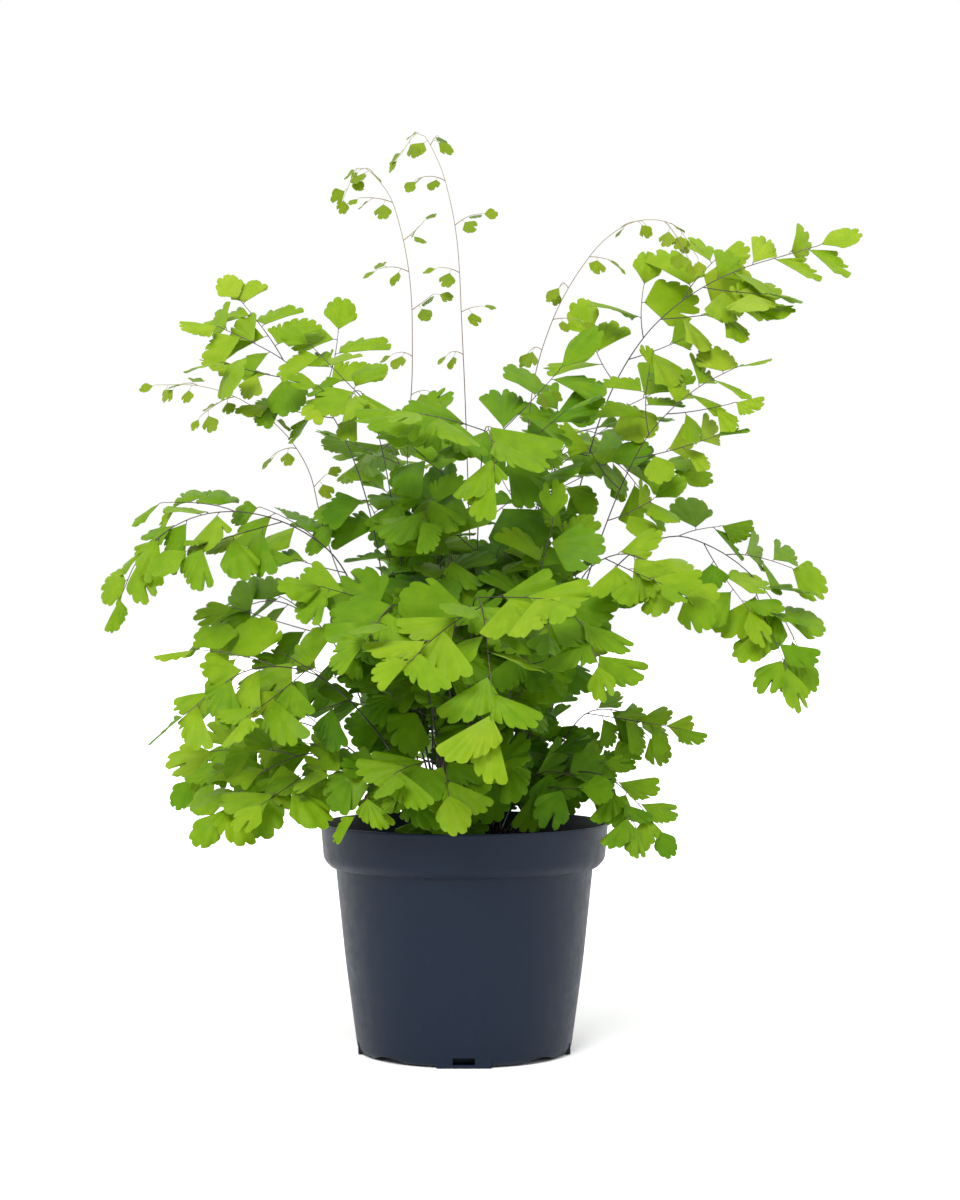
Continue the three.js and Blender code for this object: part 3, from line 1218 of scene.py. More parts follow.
class Foliage:
    """All the fronds: read from the frame, grown, and built as pieces."""

    INNER_COUNT = 30
    STALK_SIDES = 7

    def __init__(self) -> None:
        """Makes the leaflet forms, the node trees and the finishes."""
        self.forms = leaflet_forms()
        self.crowd = Crowd()
        self.fronds: list[Frond] = []
        self.bark = WiryBark().material()
        shades = ((0.0, "#2a5106"), (0.3, "#447108"), (0.55, "#638c0c"), (0.8, "#82a216"), (1.0, "#9ab02a"))
        self.blade = LeafBlade("fern_leaf_blade", shades).material()
        young = ((0.0, "#5c7d10"), (0.5, "#80961a"), (1.0, "#a0ac30"))
        self.young_blade = LeafBlade("young_fern_leaf_blade", young, 2.6).material()
        self.library = self.leaflet_library()
        self.leaflet_tree = self.make_leaflet_tree()
        self.stalk_tree = self.make_stalk_tree()

    def leaflet_library(self) -> bpy.types.Collection:
        """Builds one of each leaflet form.

        Returns:
            The collection that holds them, which isn't shown.
        """
        library = bpy.data.collections.new("leaflet_forms")
        for number, form in enumerate(self.forms):
            library.objects.link(form.build(f"leaflet_{number:02d}"))
        return library

    def make_leaflet_tree(self) -> bpy.types.NodeTree:
        """Makes the tree that sets a leaflet on each point, turned and sized by the point's attributes.

        Returns:
            The tree.
        """
        tree, start = new_tree(
            "leaflets_on_points", {"Leaflets": "NodeSocketCollection", "Finish": "NodeSocketMaterial"}
        )
        vector = {"data_type": "FLOAT_VECTOR"}
        face = add_node(tree, "GeometryNodeInputNamedAttribute", vector, {"Name": "face"})
        outward = add_node(tree, "GeometryNodeInputNamedAttribute", vector, {"Name": "outward"})
        size = add_node(tree, "GeometryNodeInputNamedAttribute", {"data_type": "FLOAT"}, {"Name": "size"})
        form = add_node(tree, "GeometryNodeInputNamedAttribute", {"data_type": "INT"}, {"Name": "form"})
        turn = add_node(
            tree,
            "FunctionNodeAxesToRotation",
            {"primary_axis": "Z", "secondary_axis": "X"},
            links={"Primary Axis": face.outputs["Attribute"], "Secondary Axis": outward.outputs["Attribute"]},
        )
        stock = add_node(
            tree,
            "GeometryNodeCollectionInfo",
            values={"Separate Children": True, "Reset Children": True},
            links={"Collection": start.outputs["Leaflets"]},
        )
        placed = add_node(
            tree,
            "GeometryNodeInstanceOnPoints",
            values={"Pick Instance": True},
            links={
                "Points": start.outputs["Geometry"],
                "Instance": stock.outputs["Instances"],
                "Instance Index": form.outputs["Attribute"],
                "Rotation": turn.outputs["Rotation"],
                "Scale": size.outputs["Attribute"],
            },
        )
        end_tree(tree, placed.outputs["Instances"], start.outputs["Finish"])
        return tree

    def make_stalk_tree(self) -> bpy.types.NodeTree:
        """Makes the tree that turns lines into round stalks, as thick as their points say.

        Returns:
            The tree.
        """
        tree, start = new_tree("stalks_on_lines", {"Sides": "NodeSocketInt", "Finish": "NodeSocketMaterial"})
        thick = add_node(
            tree, "GeometryNodeInputNamedAttribute", {"data_type": "FLOAT"}, {"Name": "thickness"}
        )
        line = add_node(tree, "GeometryNodeMeshToCurve", links={"Mesh": start.outputs["Geometry"]})
        section = add_node(
            tree,
            "GeometryNodeCurvePrimitiveCircle",
            values={"Radius": 1.0},
            links={"Resolution": start.outputs["Sides"]},
        )
        tube = add_node(
            tree,
            "GeometryNodeCurveToMesh",
            values={"Fill Caps": True},
            links={
                "Curve": line.outputs["Curve"],
                "Profile Curve": section.outputs["Curve"],
                "Scale": thick.outputs["Attribute"],
            },
        )
        smooth = add_node(tree, "GeometryNodeSetShadeSmooth", links={"Geometry": tube.outputs["Mesh"]})
        end_tree(tree, smooth.outputs["Geometry"], start.outputs["Finish"])
        return tree

    def read_fronds(self) -> None:
        """Finds every frond in the frame, with its stem's line and the start of its leafy part."""
        low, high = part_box("crown")
        root = (low + high) / 2
        stems = sorted(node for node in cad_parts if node.endswith("_stem"))
        for number, stem in enumerate(stems):
            name = stem.removesuffix("_stem")
            path = stem_path(stem, root)
            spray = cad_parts[f"{name}_leaves"].data.vertices
            start = min(path.nearest(vertex.co) for vertex in spray)
            habit = Habit[name.split("_")[0].upper()].value
            trait = TRAITS.get(name, Trait())
            dice = random.Random(100 + number)
            start += trait.bare * (path.length - start)
            self.fronds.append(Frond(name, habit, trait, path, start, self.forms, dice))

    def add_inner_fronds(self) -> None:
        """Adds short fronds, darkened with painted shade, that fill the plant's middle, where the frame has
        none.
        """
        low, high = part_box("crown")
        top = high.z
        golden = math.pi * (3 - math.sqrt(5))
        for number in range(self.INNER_COUNT):
            dice = random.Random(500 + number)
            heading = golden * number + dice.uniform(-0.3, 0.3)
            out = Vector((math.cos(heading), math.sin(heading), 0))
            # most stay low, and the taller ones reach out a little less
            rise = (14 + 126 * dice.random() ** 1.3) * MM
            reach = dice.uniform(18, 62) * MM - 0.12 * rise
            inset = 8 * MM
            knots = [
                Vector((0, 0, top - 3 * MM)) + out * dice.uniform(6, 17) * MM,
                Vector((0, 0, top + 0.6 * rise)) + out * (0.36 * reach + inset),
                Vector((0, 0, top + rise)) + out * (0.7 * reach + inset),
                Vector((0, 0, top + rise * 0.95)) + out * (reach + inset),
            ]
            path = Path(knots)
            name = f"inner_frond_{number + 1:02d}"
            self.fronds.append(
                Frond(name, Habit.INNER.value, Trait(), path, path.length * 0.3, self.forms, dice)
            )

    def fence(self) -> None:
        """Puts the pot and the potting mix into the crowd, so that no leaflet cuts into them."""
        for node in ("pot", "soil"):
            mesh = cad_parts[node].data
            mesh.calc_loop_triangles()
            faces = [tuple(triangle.vertices) for triangle in mesh.loop_triangles]
            self.crowd.add([vertex.co.copy() for vertex in mesh.vertices], faces)
        self.crowd.settle()

    def build_leaflets(self, frond: Frond) -> None:
        """Builds a frond's leaflets as one piece.

        Args:
            frond: The frond, which has grown.
        """
        thing = mesh_object(f"{frond.name}_leaflets", [leaf.base for leaf in frond.leaflets], [])
        attributes = thing.data.attributes
        for name in ("face", "outward"):
            flat = [c for leaf in frond.leaflets for c in getattr(leaf, name)]
            attributes.new(name, "FLOAT_VECTOR", "POINT").data.foreach_set("vector", flat)
        for name in ("size", "tone"):
            values = [getattr(leaf, name) for leaf in frond.leaflets]
            attributes.new(name, "FLOAT", "POINT").data.foreach_set("value", values)
        forms = [leaf.form for leaf in frond.leaflets]
        attributes.new("form", "INT", "POINT").data.foreach_set("value", forms)
        finish = self.young_blade if frond.habit.young else self.blade
        run_tree(thing, self.leaflet_tree, {"Leaflets": self.library, "Finish": finish})
        ride(thing, "young_leaf" if frond.habit.young else "leaf", *self.node_of(frond, "leaves"))

    @staticmethod
    def node_of(frond: Frond, part: str) -> list[str]:
        """The frame node that a part of a frond stands for, if it has one."""
        node = f"{frond.name}_{part}"
        return [node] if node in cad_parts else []

    def build_stalks(self, frond: Frond) -> None:
        """Builds a frond's stem, branches and leaflet stalks as one piece.

        Args:
            frond: The frond, which has grown.
        """
        points: list[Vector] = []
        edges: list[tuple[int, int]] = []
        radii: list[float] = []
        youth: list[float] = []
        for twig in frond.twigs:
            first = len(points)
            points += twig.points
            radii += twig.radii
            youth += twig.youth
            edges += [(i, i + 1) for i in range(first, len(points) - 1)]
        thing = mesh_object(f"{frond.name}_stalks", points, [], edges)
        thing.data.attributes.new("thickness", "FLOAT", "POINT").data.foreach_set("value", radii)
        thing.data.attributes.new("youth", "FLOAT", "POINT").data.foreach_set("value", youth)
        run_tree(thing, self.stalk_tree, {"Sides": self.STALK_SIDES, "Finish": self.bark})
        ride(thing, "young_stem" if frond.habit.young else "stem", *self.node_of(frond, "stem"))

    def build(self) -> None:
        """Grows and builds all the fronds."""
        self.read_fronds()
        self.add_inner_fronds()
        self.fence()
        for frond in self.fronds:
            frond.grow(self.crowd)
        for frond in self.fronds:
            self.build_leaflets(frond)
            self.build_stalks(frond)
        LOG.info("%d leaflets on %d fronds", sum(len(f.leaflets) for f in self.fronds), len(self.fronds))


# ---------- pot ----------


def rounded(corners: Sequence[tuple[float, float, float]], steps: int = 4) -> list[tuple[float, float]]:
    """Rounds the corners of an outline.

    Args:
        corners: Across, up, and the rounding of each corner.
        steps: Points along each rounding.

    Returns:
        The outline's points.
    """
    outline: list[tuple[float, float]] = []
    for i, (x, z, radius) in enumerate(corners):
        here = Vector((x, z))
        if radius <= 0 or i in (0, len(corners) - 1):
            outline.append((x, z))
            continue
        before = Vector(corners[i - 1][:2]) - here
        after = Vector(corners[i + 1][:2]) - here
        start = here + before.normalized() * min(radius, 0.45 * before.length)
        end = here + after.normalized() * min(radius, 0.45 * after.length)
        for k in range(steps + 1):
            t = k / steps
            point = start * (1 - t) ** 2 + here * 2 * t * (1 - t) + end * t**2
            outline.append((point.x, point.y))
    return outline


def lathe(name: str, outline: Sequence[tuple[float, float]], sides: int) -> bpy.types.Object:
    """Turns an outline that starts and ends on the axis about +Z.

    Args:
        name: The object's name.
        outline: Distances from the axis and heights, in metres.
        sides: Faces round the axis.

    Returns:
        The closed object.
    """
    points: list[tuple[float, float, float]] = [(0.0, 0.0, outline[0][1])]
    inner = outline[1:-1]
    for radius, height in inner:
        for k in range(sides):
            angle = 2 * math.pi * k / sides
            points.append((radius * math.cos(angle), radius * math.sin(angle), height))
    points.append((0.0, 0.0, outline[-1][1]))
    last = len(points) - 1
    faces: list[tuple[int, ...]] = []
    for k in range(sides):
        ahead = (k + 1) % sides
        faces.append((0, 1 + ahead, 1 + k))
        for ring in range(len(inner) - 1):
            low, up = 1 + ring * sides, 1 + (ring + 1) * sides
            faces.append((low + k, low + ahead, up + ahead, up + k))
        top = 1 + (len(inner) - 1) * sides
        faces.append((top + k, top + ahead, last))
    return mesh_object(name, points, faces)


@dataclass
class NurseryPot:
    """The pot: a tapered cup with a deep collar, drain slots in raised bosses, and low arches between them.

    Sizes are in millimetres, apart from what the frame gives. The undercut is the small step out under the
    collar. The pads are the rings that the pot stands on, and a pad slope is how wide a pad's edge is.
    """

    collar_height: float = 15.1
    collar_taper: float = 1.3
    shoulder_height: float = 3.2
    neck_radius: float = 53.7
    foot_radius: float = 44.7
    undercut: float = 2.0
    bulge: float = 0.5
    wall: float = 1.1
    floor_top: float = 3.0
    floor_recess: float = 1.5
    centre_pad: float = 14.0
    foot_ring: float = 6.0
    foot_round: float = 3.4
    pad_slope: float = 2.0
    slot_depth: float = 14.0
    slot_width: float = 9.0
    slot_low: float = 1.2
    slot_high: float = 4.2
    boss_width: float = 22.0
    boss_high: float = 4.7
    boss_thick: float = 1.4
    boss_inset: float = 0.8
    boss_lift: float = 0.1
    arch_width: float = 21.0
    arch_rise: float = 2.2
    arch_depth: float = 24.0
    drains: int = 4
    sides: int = 160

    def outline(self) -> list[tuple[float, float]]:
        """Draws the pot's section: its underside, its outside, its rim and its inside.

        Returns:
            Distances from the axis and heights, in metres.
        """
        low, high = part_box("pot")
        rim = high.x / MM
        height = high.z / MM
        collar_foot = height - self.collar_height
        collar_radius = rim - self.collar_taper
        neck = collar_foot - self.shoulder_height
        middle = (self.neck_radius + self.foot_radius) / 2 + self.bulge
        ring = self.foot_radius - self.foot_round - self.foot_ring
        corners = (
            (0, 0, 0),
            (self.centre_pad, 0, 0.6),
            (self.centre_pad + self.pad_slope, self.floor_recess, 0.6),
            (ring - self.pad_slope, self.floor_recess, 0.6),
            (ring, 0, 0.6),
            (self.foot_radius - 0.3, 0, self.foot_round),
            (middle, neck / 2, 8),
            (self.neck_radius, neck, 0.3),
            (self.neck_radius + self.undercut, neck + 0.2, 0.4),
            (collar_radius, collar_foot, 1.8),
            (rim, height, 1.4),
            (rim - self.wall, height, 0.4),
            (collar_radius - self.wall, collar_foot, 1.5),
            (self.neck_radius - self.wall, neck, 1.2),
            (middle - self.wall, neck / 2, 8),
            (self.foot_radius - self.wall, self.floor_top, 2.5),
            (0, self.floor_top, 0),
        )
        return [(x * MM, z * MM) for x, z in rounded(corners)]

    def blocks(self, name: str, size: Vector, centre: Vector) -> bpy.types.Object:
        """Boxes round the foot, one at each drain, to add to the pot or cut from it.

        Args:
            name: The name of the object that holds them.
            size: A box's size, in millimetres: through the wall, along it, and up.
            centre: Its middle, before it is turned to its place.

        Returns:
            The boxes.
        """
        work = bmesh.new()
        for i in range(self.drains):
            turn = Matrix.Rotation(2 * math.pi * i / self.drains, 4, "Z")
            place = Matrix.Translation(centre * MM) @ Matrix.Diagonal((*(size * MM), 1))
            bmesh.ops.create_cube(work, size=1.0, matrix=turn @ place)
        return self.cutter_object(work, name)

    def arch_cutter(self) -> bpy.types.Object:
        """Makes the wide shallow drums that cut the arches between the drains.

        Returns:
            The drums.
        """
        radius = (self.arch_width**2 / 4 + self.arch_rise**2) / (2 * self.arch_rise)
        work = bmesh.new()
        for i in range(self.drains):
            turn = Matrix.Rotation(math.pi / self.drains + 2 * math.pi * i / self.drains, 4, "Z")
            place = Matrix.Translation(Vector((self.foot_radius, 0, self.arch_rise - radius)) * MM)
            lie = Matrix.Rotation(math.pi / 2, 4, "Y")
            bmesh.ops.create_cone(
                work,
                cap_ends=True,
                segments=256,
                radius1=radius * MM,
                radius2=radius * MM,
                depth=self.arch_depth * MM,
                matrix=turn @ place @ lie,
            )
        return self.cutter_object(work, "arch_cutter")

    @staticmethod
    def cutter_object(work: bmesh.types.BMesh, name: str) -> bpy.types.Object:
        """Turns a bmesh into an object that a boolean can use.

        Args:
            work: The bmesh, which is freed.
            name: The object's name.

        Returns:
            The object, linked to the scene.
        """
        thing = object_from(work, name)
        bpy.context.scene.collection.objects.link(thing)
        return thing

    def build(self) -> None:
        """Turns the pot, adds the bosses, cuts its foot and dresses it."""
        pot = lathe("nursery_pot", self.outline(), self.sides)
        slot_height = self.slot_high - self.slot_low
        slot_middle = (self.slot_high + self.slot_low) / 2
        slot_size = Vector((self.slot_depth, self.slot_width, slot_height))
        boss_size = Vector((self.boss_thick, self.boss_width, self.boss_high))
        boss_out = self.foot_radius - self.boss_inset - self.boss_thick / 2
        boss_place = Vector((boss_out, 0, self.boss_high / 2 + self.boss_lift))
        cutters = (
            self.arch_cutter(),
            self.blocks("bosses", boss_size, boss_place),
            self.blocks("slots", slot_size, Vector((self.foot_radius, 0, slot_middle))),
        )
        for cutter in cutters:
            cut = pot.modifiers.new(cutter.name, "BOOLEAN")
            cut.object = cutter
            cut.operation = "UNION" if cutter.name == "bosses" else "DIFFERENCE"
            cut.solver = "EXACT"
        settle(pot)
        for cutter in cutters:
            bpy.data.objects.remove(cutter)
        sharpen(pot.data, 32)
        pot.data.materials.clear()
        pot.data.materials.append(MouldedPolypropylene().material())
        ride(pot, "pot_plastic", "pot")


# ---------- potting mix and rhizome ----------


def lump(name: str, size: float, seed: int, rough: float) -> bpy.types.Object:
    """A small uneven lump.

    Args:
        name: Its name.
        size: Its radius, in metres.
        seed: Which unevenness it gets.
        rough: How uneven it is.

    Returns:
        The lump, linked to no collection.
    """
    work = bmesh.new()
    bmesh.ops.create_icosphere(work, subdivisions=1, radius=1.0)
    for vertex in work.verts:
        push = noise.noise(vertex.co * 1.3 + Vector((seed * 7.1, 0, 0)))
        vertex.co *= size * (1 + rough * push)
        vertex.co.z *= 0.75
    return object_from(work, name)


def scatter_tree(name: str) -> bpy.types.NodeTree:
    """Makes a tree that strews things over the faces that look up, turned and sized by chance.

    Args:
        name: The tree's name.

    Returns:
        The tree.
    """
    tree, start = new_tree(
        name,
        {
            "Things": "NodeSocketCollection",
            "Finish": "NodeSocketMaterial",
            "Per Square Metre": "NodeSocketFloat",
            "Smallest": "NodeSocketFloat",
            "Largest": "NodeSocketFloat",
            "Seed": "NodeSocketInt",
            "Lean": "NodeSocketFloat",
        },
    )
    normal = add_node(tree, "GeometryNodeInputNormal")
    parts = add_node(tree, "ShaderNodeSeparateXYZ", links={0: normal.outputs[0]})
    upward = add_node(
        tree, "FunctionNodeCompare", {"operation": "GREATER_THAN"}, {1: 0.4}, {0: parts.outputs["Z"]}
    )
    spots = add_node(
        tree,
        "GeometryNodeDistributePointsOnFaces",
        links={
            "Mesh": start.outputs["Geometry"],
            "Selection": upward.outputs["Result"],
            "Density": start.outputs["Per Square Metre"],
            "Seed": start.outputs["Seed"],
        },
    )
    lean_low = add_node(
        tree, "ShaderNodeMath", {"operation": "MULTIPLY"}, {1: -1.0}, {0: start.outputs["Lean"]}
    )
    low = add_node(tree, "ShaderNodeCombineXYZ", links={0: lean_low.outputs[0], 1: lean_low.outputs[0]})
    high = add_node(
        tree,
        "ShaderNodeCombineXYZ",
        values={2: 2 * math.pi},
        links={0: start.outputs["Lean"], 1: start.outputs["Lean"]},
    )
    tip = add_node(
        tree,
        "FunctionNodeRandomValue",
        {"data_type": "FLOAT_VECTOR"},
        links={0: low.outputs[0], 1: high.outputs[0], "Seed": start.outputs["Seed"]},
    )
    tilt = add_node(tree, "FunctionNodeEulerToRotation", links={0: tip.outputs[0]})
    turn = add_node(
        tree,
        "FunctionNodeRotateRotation",
        {"rotation_space": "LOCAL"},
        links={"Rotation": spots.outputs["Rotation"], "Rotate By": tilt.outputs[0]},
    )
    size = add_node(
        tree,
        "FunctionNodeRandomValue",
        {"data_type": "FLOAT"},
        links={
            2: start.outputs["Smallest"],
            3: start.outputs["Largest"],
            "Seed": start.outputs["Seed"],
        },
    )
    stock = add_node(
        tree,
        "GeometryNodeCollectionInfo",
        values={"Separate Children": True, "Reset Children": True},
        links={"Collection": start.outputs["Things"]},
    )
    placed = add_node(
        tree,
        "GeometryNodeInstanceOnPoints",
        values={"Pick Instance": True},
        links={
            "Points": spots.outputs["Points"],
            "Instance": stock.outputs["Instances"],
            "Rotation": turn.outputs["Rotation"],
            "Scale": size.outputs[1],
        },
    )
    end_tree(tree, placed.outputs["Instances"], start.outputs["Finish"])
    return tree


@dataclass
class PottingMix:
    """The block of peaty mix: an uneven top, strewn with crumbs and a few white grains of perlite.

    Sizes are in millimetres, apart from what the frame gives. Insets are measured from the block's widest
    part, and heights from its underside. They follow the inside of the pot, with a little left between.
    """

    rings: int = 44
    sides: int = 120
    slack: float = 0.4
    band: float = 4.0
    shoulder_high: float = 79.5
    shoulder_low: float = 73.0
    shoulder_inset: float = 5.4
    foot_high: float = 3.0
    foot_inset: float = 14.2
    floor_inset: float = 17.0
    unevenness: float = 1.6
    bump_width: float = 9.0
    mound: float = 5.5
    mound_reach: float = 48.0
    sink: float = 0.6
    lump_forms: int = 4
    crumbs_per_m2: float = 170000.0
    perlite_per_m2: float = 26000.0

    def build(self) -> None:
        """Builds the block, the crumbs and the perlite."""
        low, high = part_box("soil")
        edge = high.x - self.slack * MM
        top = high.z
        points: list[tuple[float, float, float]] = []
        for ring in range(1, self.rings + 1):
            for k in range(self.sides):
                angle = 2 * math.pi * k / self.sides
                radius = edge * ring / self.rings
                spot = Vector((radius * math.cos(angle), radius * math.sin(angle), 0))
                points.append((spot.x, spot.y, top + self.rise(spot)))
        walls = (
            (edge, top - self.band * MM),
            (edge, low.z + self.shoulder_high * MM),
            (edge - self.shoulder_inset * MM, low.z + self.shoulder_low * MM),
            (edge - self.foot_inset * MM, low.z + self.foot_high * MM),
            (edge - self.floor_inset * MM, low.z),
        )
        for radius, height in walls:
            for k in range(self.sides):
                angle = 2 * math.pi * k / self.sides
                points.append((radius * math.cos(angle), radius * math.sin(angle), height))
        rows = self.rings + len(walls)
        faces: list[tuple[int, ...]] = []
        for k in range(self.sides):
            ahead = (k + 1) % self.sides
            for row in range(rows - 1):
                inner, outer = row * self.sides, (row + 1) * self.sides
                faces.append((inner + k, outer + k, outer + ahead, inner + ahead))
        middle = len(points)
        points.append((0.0, 0.0, top + self.rise(Vector())))
        points.append((0.0, 0.0, low.z))
        last = (rows - 1) * self.sides
        for k in range(self.sides):
            ahead = (k + 1) % self.sides
            faces.append((middle, k, ahead))
            faces.append((last + k, middle + 1, last + ahead))
        block = mesh_object("potting_mix", points, faces)
        sharpen(block.data, 60)
        peat = LooseEarth("moist_peat", "#0b0806", "#241a12", 1.4, 0.6).material()
        block.data.materials.append(peat)
        self.strew(block, "peat_crumbs", peat, self.crumbs_per_m2, (0.45, 1.5), 11)
        white = LooseEarth("perlite", "#b9b5aa", "#e9e7e0", 0.8, 0.2).material()
        self.strew(block, "perlite_grains", white, self.perlite_per_m2, (0.3, 0.7), 5)
        ride(block, "potting_mix", "soil")

    def rise(self, spot: Vector) -> float:
        """Shapes the top: uneven, and a little higher towards the rhizome.

        Args:
            spot: A place on the level top.

        Returns:
            How far the top rises there.
        """
        bumps = noise.fractal(spot / (self.bump_width * MM), 0.9, 2.0, 4)
        mound = max(0.0, 1 - (spot.length / (self.mound_reach * MM)) ** 2)
        return (self.unevenness * bumps * 0.5 + self.mound * mound - self.sink) * MM

    def strew(
        self,
        block: bpy.types.Object,
        name: str,
        finish: bpy.types.Material,
        density: float,
        sizes: tuple[float, float],
        seed: int,
    ) -> None:
        """Strews lumps over the top of the block, as a piece of their own.

        Args:
            block: The block of mix.
            name: The piece's name.
            finish: The lumps' finish.
            density: Lumps to the square metre.
            sizes: The smallest and the largest radius, in millimetres.
            seed: Which of the many ways to strew them.
        """
        lumps = bpy.data.collections.new(f"{name}_forms")
        for i in range(self.lump_forms):
            lumps.objects.link(lump(f"{name}_{i}", MM, seed + i, 0.9))
        thing = bpy.data.objects.new(name, block.data.copy())
        bpy.context.scene.collection.objects.link(thing)
        inputs = {
            "Things": lumps,
            "Finish": finish,
            "Per Square Metre": density,
            "Smallest": sizes[0],
            "Largest": sizes[1],
            "Seed": seed,
            "Lean": math.pi,
        }
        run_tree(thing, scatter_tree(f"{name}_strewn"), inputs)
        sharpen(thing.data, 60)
        ride(thing, "potting_mix")


@dataclass
class Rhizome:
    """The low crown that the stems rise from: a knobbly mound under brown scales.

    The sizes of the knobs are in millimetres, and those of a scale are in its own units, which become
    millimetres as it is set in place.
    """

    rings: int = 16
    sides: int = 56
    knob_height: float = 1.3
    knob_width: float = 5.0
    scales_per_m2: float = 330000.0
    scale_length: float = 2.6
    scale_half_width: float = 0.45
    scale_thickness: float = 0.14
    scale_bow: float = 1.1

    def build(self) -> None:
        """Builds the mound and its scales."""
        low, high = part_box("crown")
        radius = high.x
        rise = high.z - low.z
        points: list[tuple[float, float, float]] = [(0.0, 0.0, high.z - 0.4 * MM)]
        for ring in range(1, self.rings + 1):
            out = ring / self.rings
            for k in range(self.sides):
                angle = 2 * math.pi * k / self.sides
                spot = Vector((radius * out * math.cos(angle), radius * out * math.sin(angle), 0))
                knobs = self.knob_height * MM * noise.noise(spot / (self.knob_width * MM)) * (1 - out)
                points.append((spot.x, spot.y, low.z + rise * (1 - out**2) * 0.93 + knobs))
        base = len(points)
        points.append((0.0, 0.0, low.z - 1 * MM))
        faces: list[tuple[int, ...]] = []
        for k in range(self.sides):
            ahead = (k + 1) % self.sides
            faces.append((0, 1 + k, 1 + ahead))
            for ring in range(self.rings - 1):
                inner, outer = 1 + ring * self.sides, 1 + (ring + 1) * self.sides
                faces.append((inner + k, outer + k, outer + ahead, inner + ahead))
            last = 1 + (self.rings - 1) * self.sides
            faces.append((last + k, base, last + ahead))
        mound = mesh_object("rhizome", points, faces)
        sharpen(mound.data, 60)
        finish = LooseEarth("rhizome_bark", "#0f0a07", "#241810", 1.0, 0.5).material()
        mound.data.materials.append(finish)
        self.add_scales(mound)
        ride(mound, "rhizome", "crown")

    def add_scales(self, mound: bpy.types.Object) -> None:
        """Covers the mound with narrow papery scales, as a piece of their own.

        Args:
            mound: The mound.
        """
        length, width = self.scale_length, self.scale_half_width
        work = bmesh.new()
        bottom = [
            (-width, 0, 0),
            (width, 0, 0),
            (width * 0.7, 0.5, length * 0.6),
            (0, self.scale_bow, length),
            (-width * 0.7, 0.5, length * 0.6),
        ]
        lower = [work.verts.new(p) for p in bottom]
        upper = [work.verts.new((x, y + self.scale_thickness, z)) for x, y, z in bottom]
        work.faces.new(lower)
        work.faces.new(list(reversed(upper)))
        for i in range(len(bottom)):
            ahead = (i + 1) % len(bottom)
            work.faces.new((lower[ahead], lower[i], upper[i], upper[ahead]))
        bmesh.ops.recalc_face_normals(work, faces=work.faces)
        forms = bpy.data.collections.new("scale_forms")
        forms.objects.link(object_from(work, "scale"))
        thing = bpy.data.objects.new("rhizome_scales", mound.data.copy())
        bpy.context.scene.collection.objects.link(thing)
        # dark brown scales, their colour darkened further as painted shade for the dark crown under the
        # fronds
        finish = LooseEarth("papery_scale", "#1d130c", "#3b2617", 0.8, 0.1).material()
        inputs = {
            "Things": forms,
            "Finish": finish,
            "Per Square Metre": self.scales_per_m2,
            "Smallest": 0.6 * MM,
            "Largest": 1.2 * MM,
            "Seed": 3,
            "Lean": 0.6,
        }
        run_tree(thing, scatter_tree("scales_strewn"), inputs)
        ride(thing, "rhizome")


# ---------- studio ----------


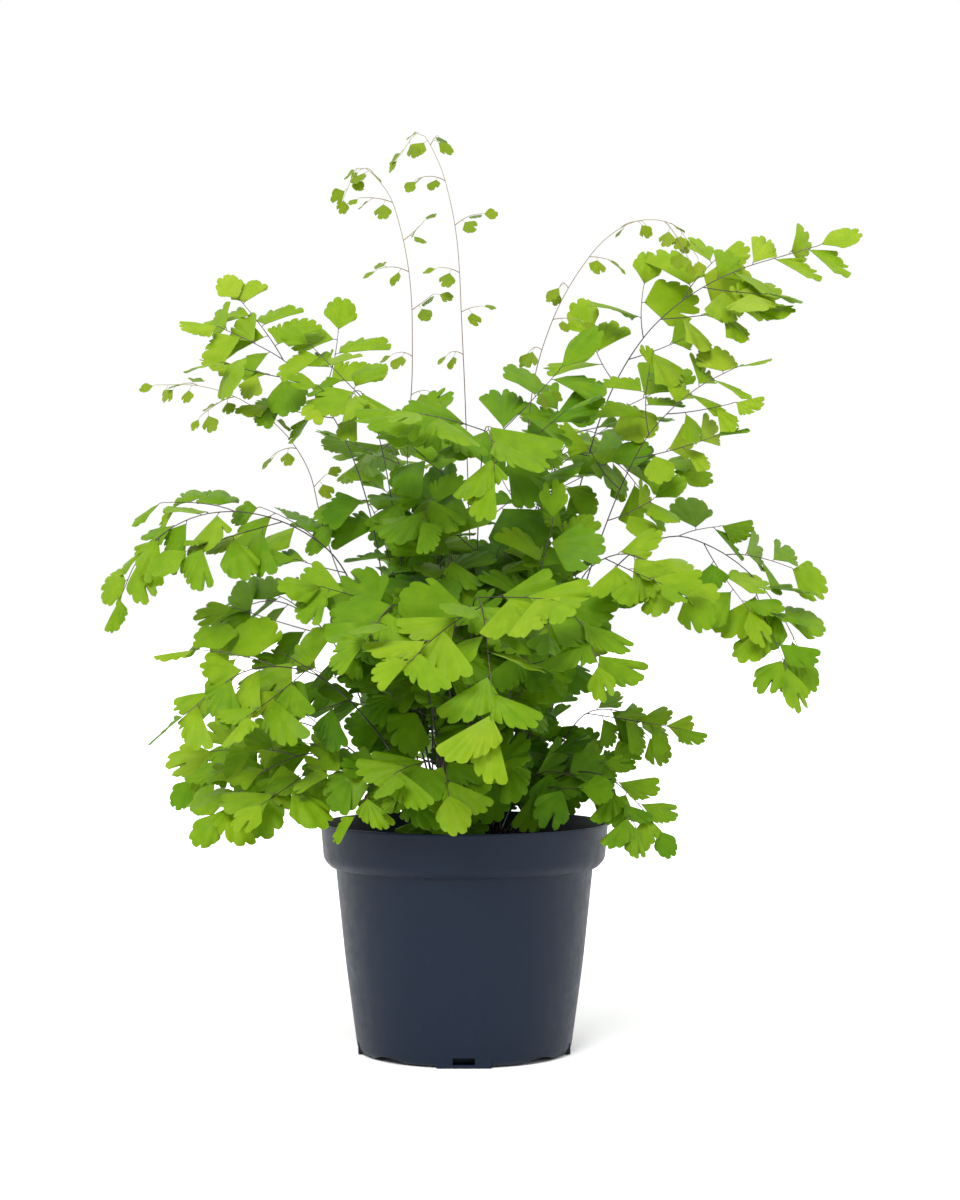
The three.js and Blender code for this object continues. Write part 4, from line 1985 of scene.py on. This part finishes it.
@dataclass
class Studio:
    """A pale table, soft light from all round, and the camera. Lengths are in metres."""

    distance: float = 1.1
    aside: float = 6.5 * MM
    height: float = 188 * MM
    view_height: float = 501.6 * MM
    sensor: float = 36.0
    bright_side: tuple[float, float, float] = (0.38, 0.9, 0.2)
    front_glow: float = 0.66
    back_glow: float = 1.5
    sun_strength: float = 3.2
    sun_width: float = 28.0
    sun_way: tuple[float, float, float] = (0.3, 0.85, -0.9)

    def build(self) -> None:
        """Builds the floor, the light and the camera."""
        self.build_floor()
        self.build_light()
        self.build_camera()

    def build_camera(self) -> None:
        """Sets the camera level, at the height of the plant's middle, some way in front."""
        data = bpy.data.cameras.new("camera")
        data.sensor_width = self.sensor
        data.lens = self.sensor * self.distance / self.view_height
        camera = bpy.data.objects.new("camera", data)
        camera.location = (self.aside, -self.distance, self.height)
        camera.rotation_euler = (math.pi / 2, 0, 0)
        bpy.context.scene.collection.objects.link(camera)
        bpy.context.scene.camera = camera

    def build_floor(self) -> None:
        """Lays a wide pale floor just under the pot."""
        half = 12.0
        drop = -0.2 * MM
        corners = [(-half, -half, drop), (half, -half, drop), (half, half, drop), (-half, half, drop)]
        floor = mesh_object("floor", corners, [(0, 1, 2, 3)])
        material, tree = start_material("matt_white_board")
        skin = add_node(
            tree,
            "ShaderNodeBsdfPrincipled",
            values={"Base Color": linear("#f4f4f4"), "Roughness": 0.8, "Specular IOR Level": 0.2},
        )
        add_node(tree, "ShaderNodeOutputMaterial", links={"Surface": skin.outputs[0]})
        floor.data.materials.append(material)

    def build_light(self) -> None:
        """Lights the plant from a soft surround, dimmer in front, and a broad sun from the upper left."""
        scene = bpy.context.scene
        scene.view_settings.view_transform = "Standard"
        world = bpy.data.worlds.new("white_surround")
        world.use_nodes = True
        tree = world.node_tree
        tree.nodes.clear()
        way = add_node(tree, "ShaderNodeTexCoord")
        depth = add_node(
            tree,
            "ShaderNodeVectorMath",
            {"operation": "DOT_PRODUCT"},
            {1: self.bright_side},
            {0: way.outputs["Generated"]},
        )
        glow = add_node(
            tree,
            "ShaderNodeMapRange",
            values={"From Min": -0.9, "From Max": 0.3, "To Min": self.front_glow, "To Max": self.back_glow},
            links={"Value": depth.outputs["Value"]},
        )
        surround = add_node(tree, "ShaderNodeBackground", links={"Strength": glow.outputs["Result"]})
        plain = add_node(tree, "ShaderNodeBackground", values={"Strength": 1.0})
        for node in (surround, plain):
            node.inputs["Color"].default_value = (1.0, 1.0, 1.0, 1.0)
        seen = add_node(tree, "ShaderNodeLightPath")
        both = add_node(
            tree,
            "ShaderNodeMixShader",
            links={0: seen.outputs["Is Camera Ray"], 1: surround.outputs[0], 2: plain.outputs[0]},
        )
        add_node(tree, "ShaderNodeOutputWorld", links={"Surface": both.outputs[0]})
        scene.world = world
        data = bpy.data.lights.new("broad_sun", "SUN")
        data.energy = self.sun_strength
        data.angle = math.radians(self.sun_width)
        lamp = bpy.data.objects.new("broad_sun", data)
        lamp.rotation_euler = Vector(self.sun_way).to_track_quat("-Z", "Y").to_euler()
        scene.collection.objects.link(lamp)


def main() -> None:
    """Builds everything in order."""
    logging.basicConfig(level=logging.INFO, format="%(name)s: %(message)s")
    Studio().build()
    NurseryPot().build()
    PottingMix().build()
    Rhizome().build()
    Foliage().build()


if __name__ == "__main__":
    main()
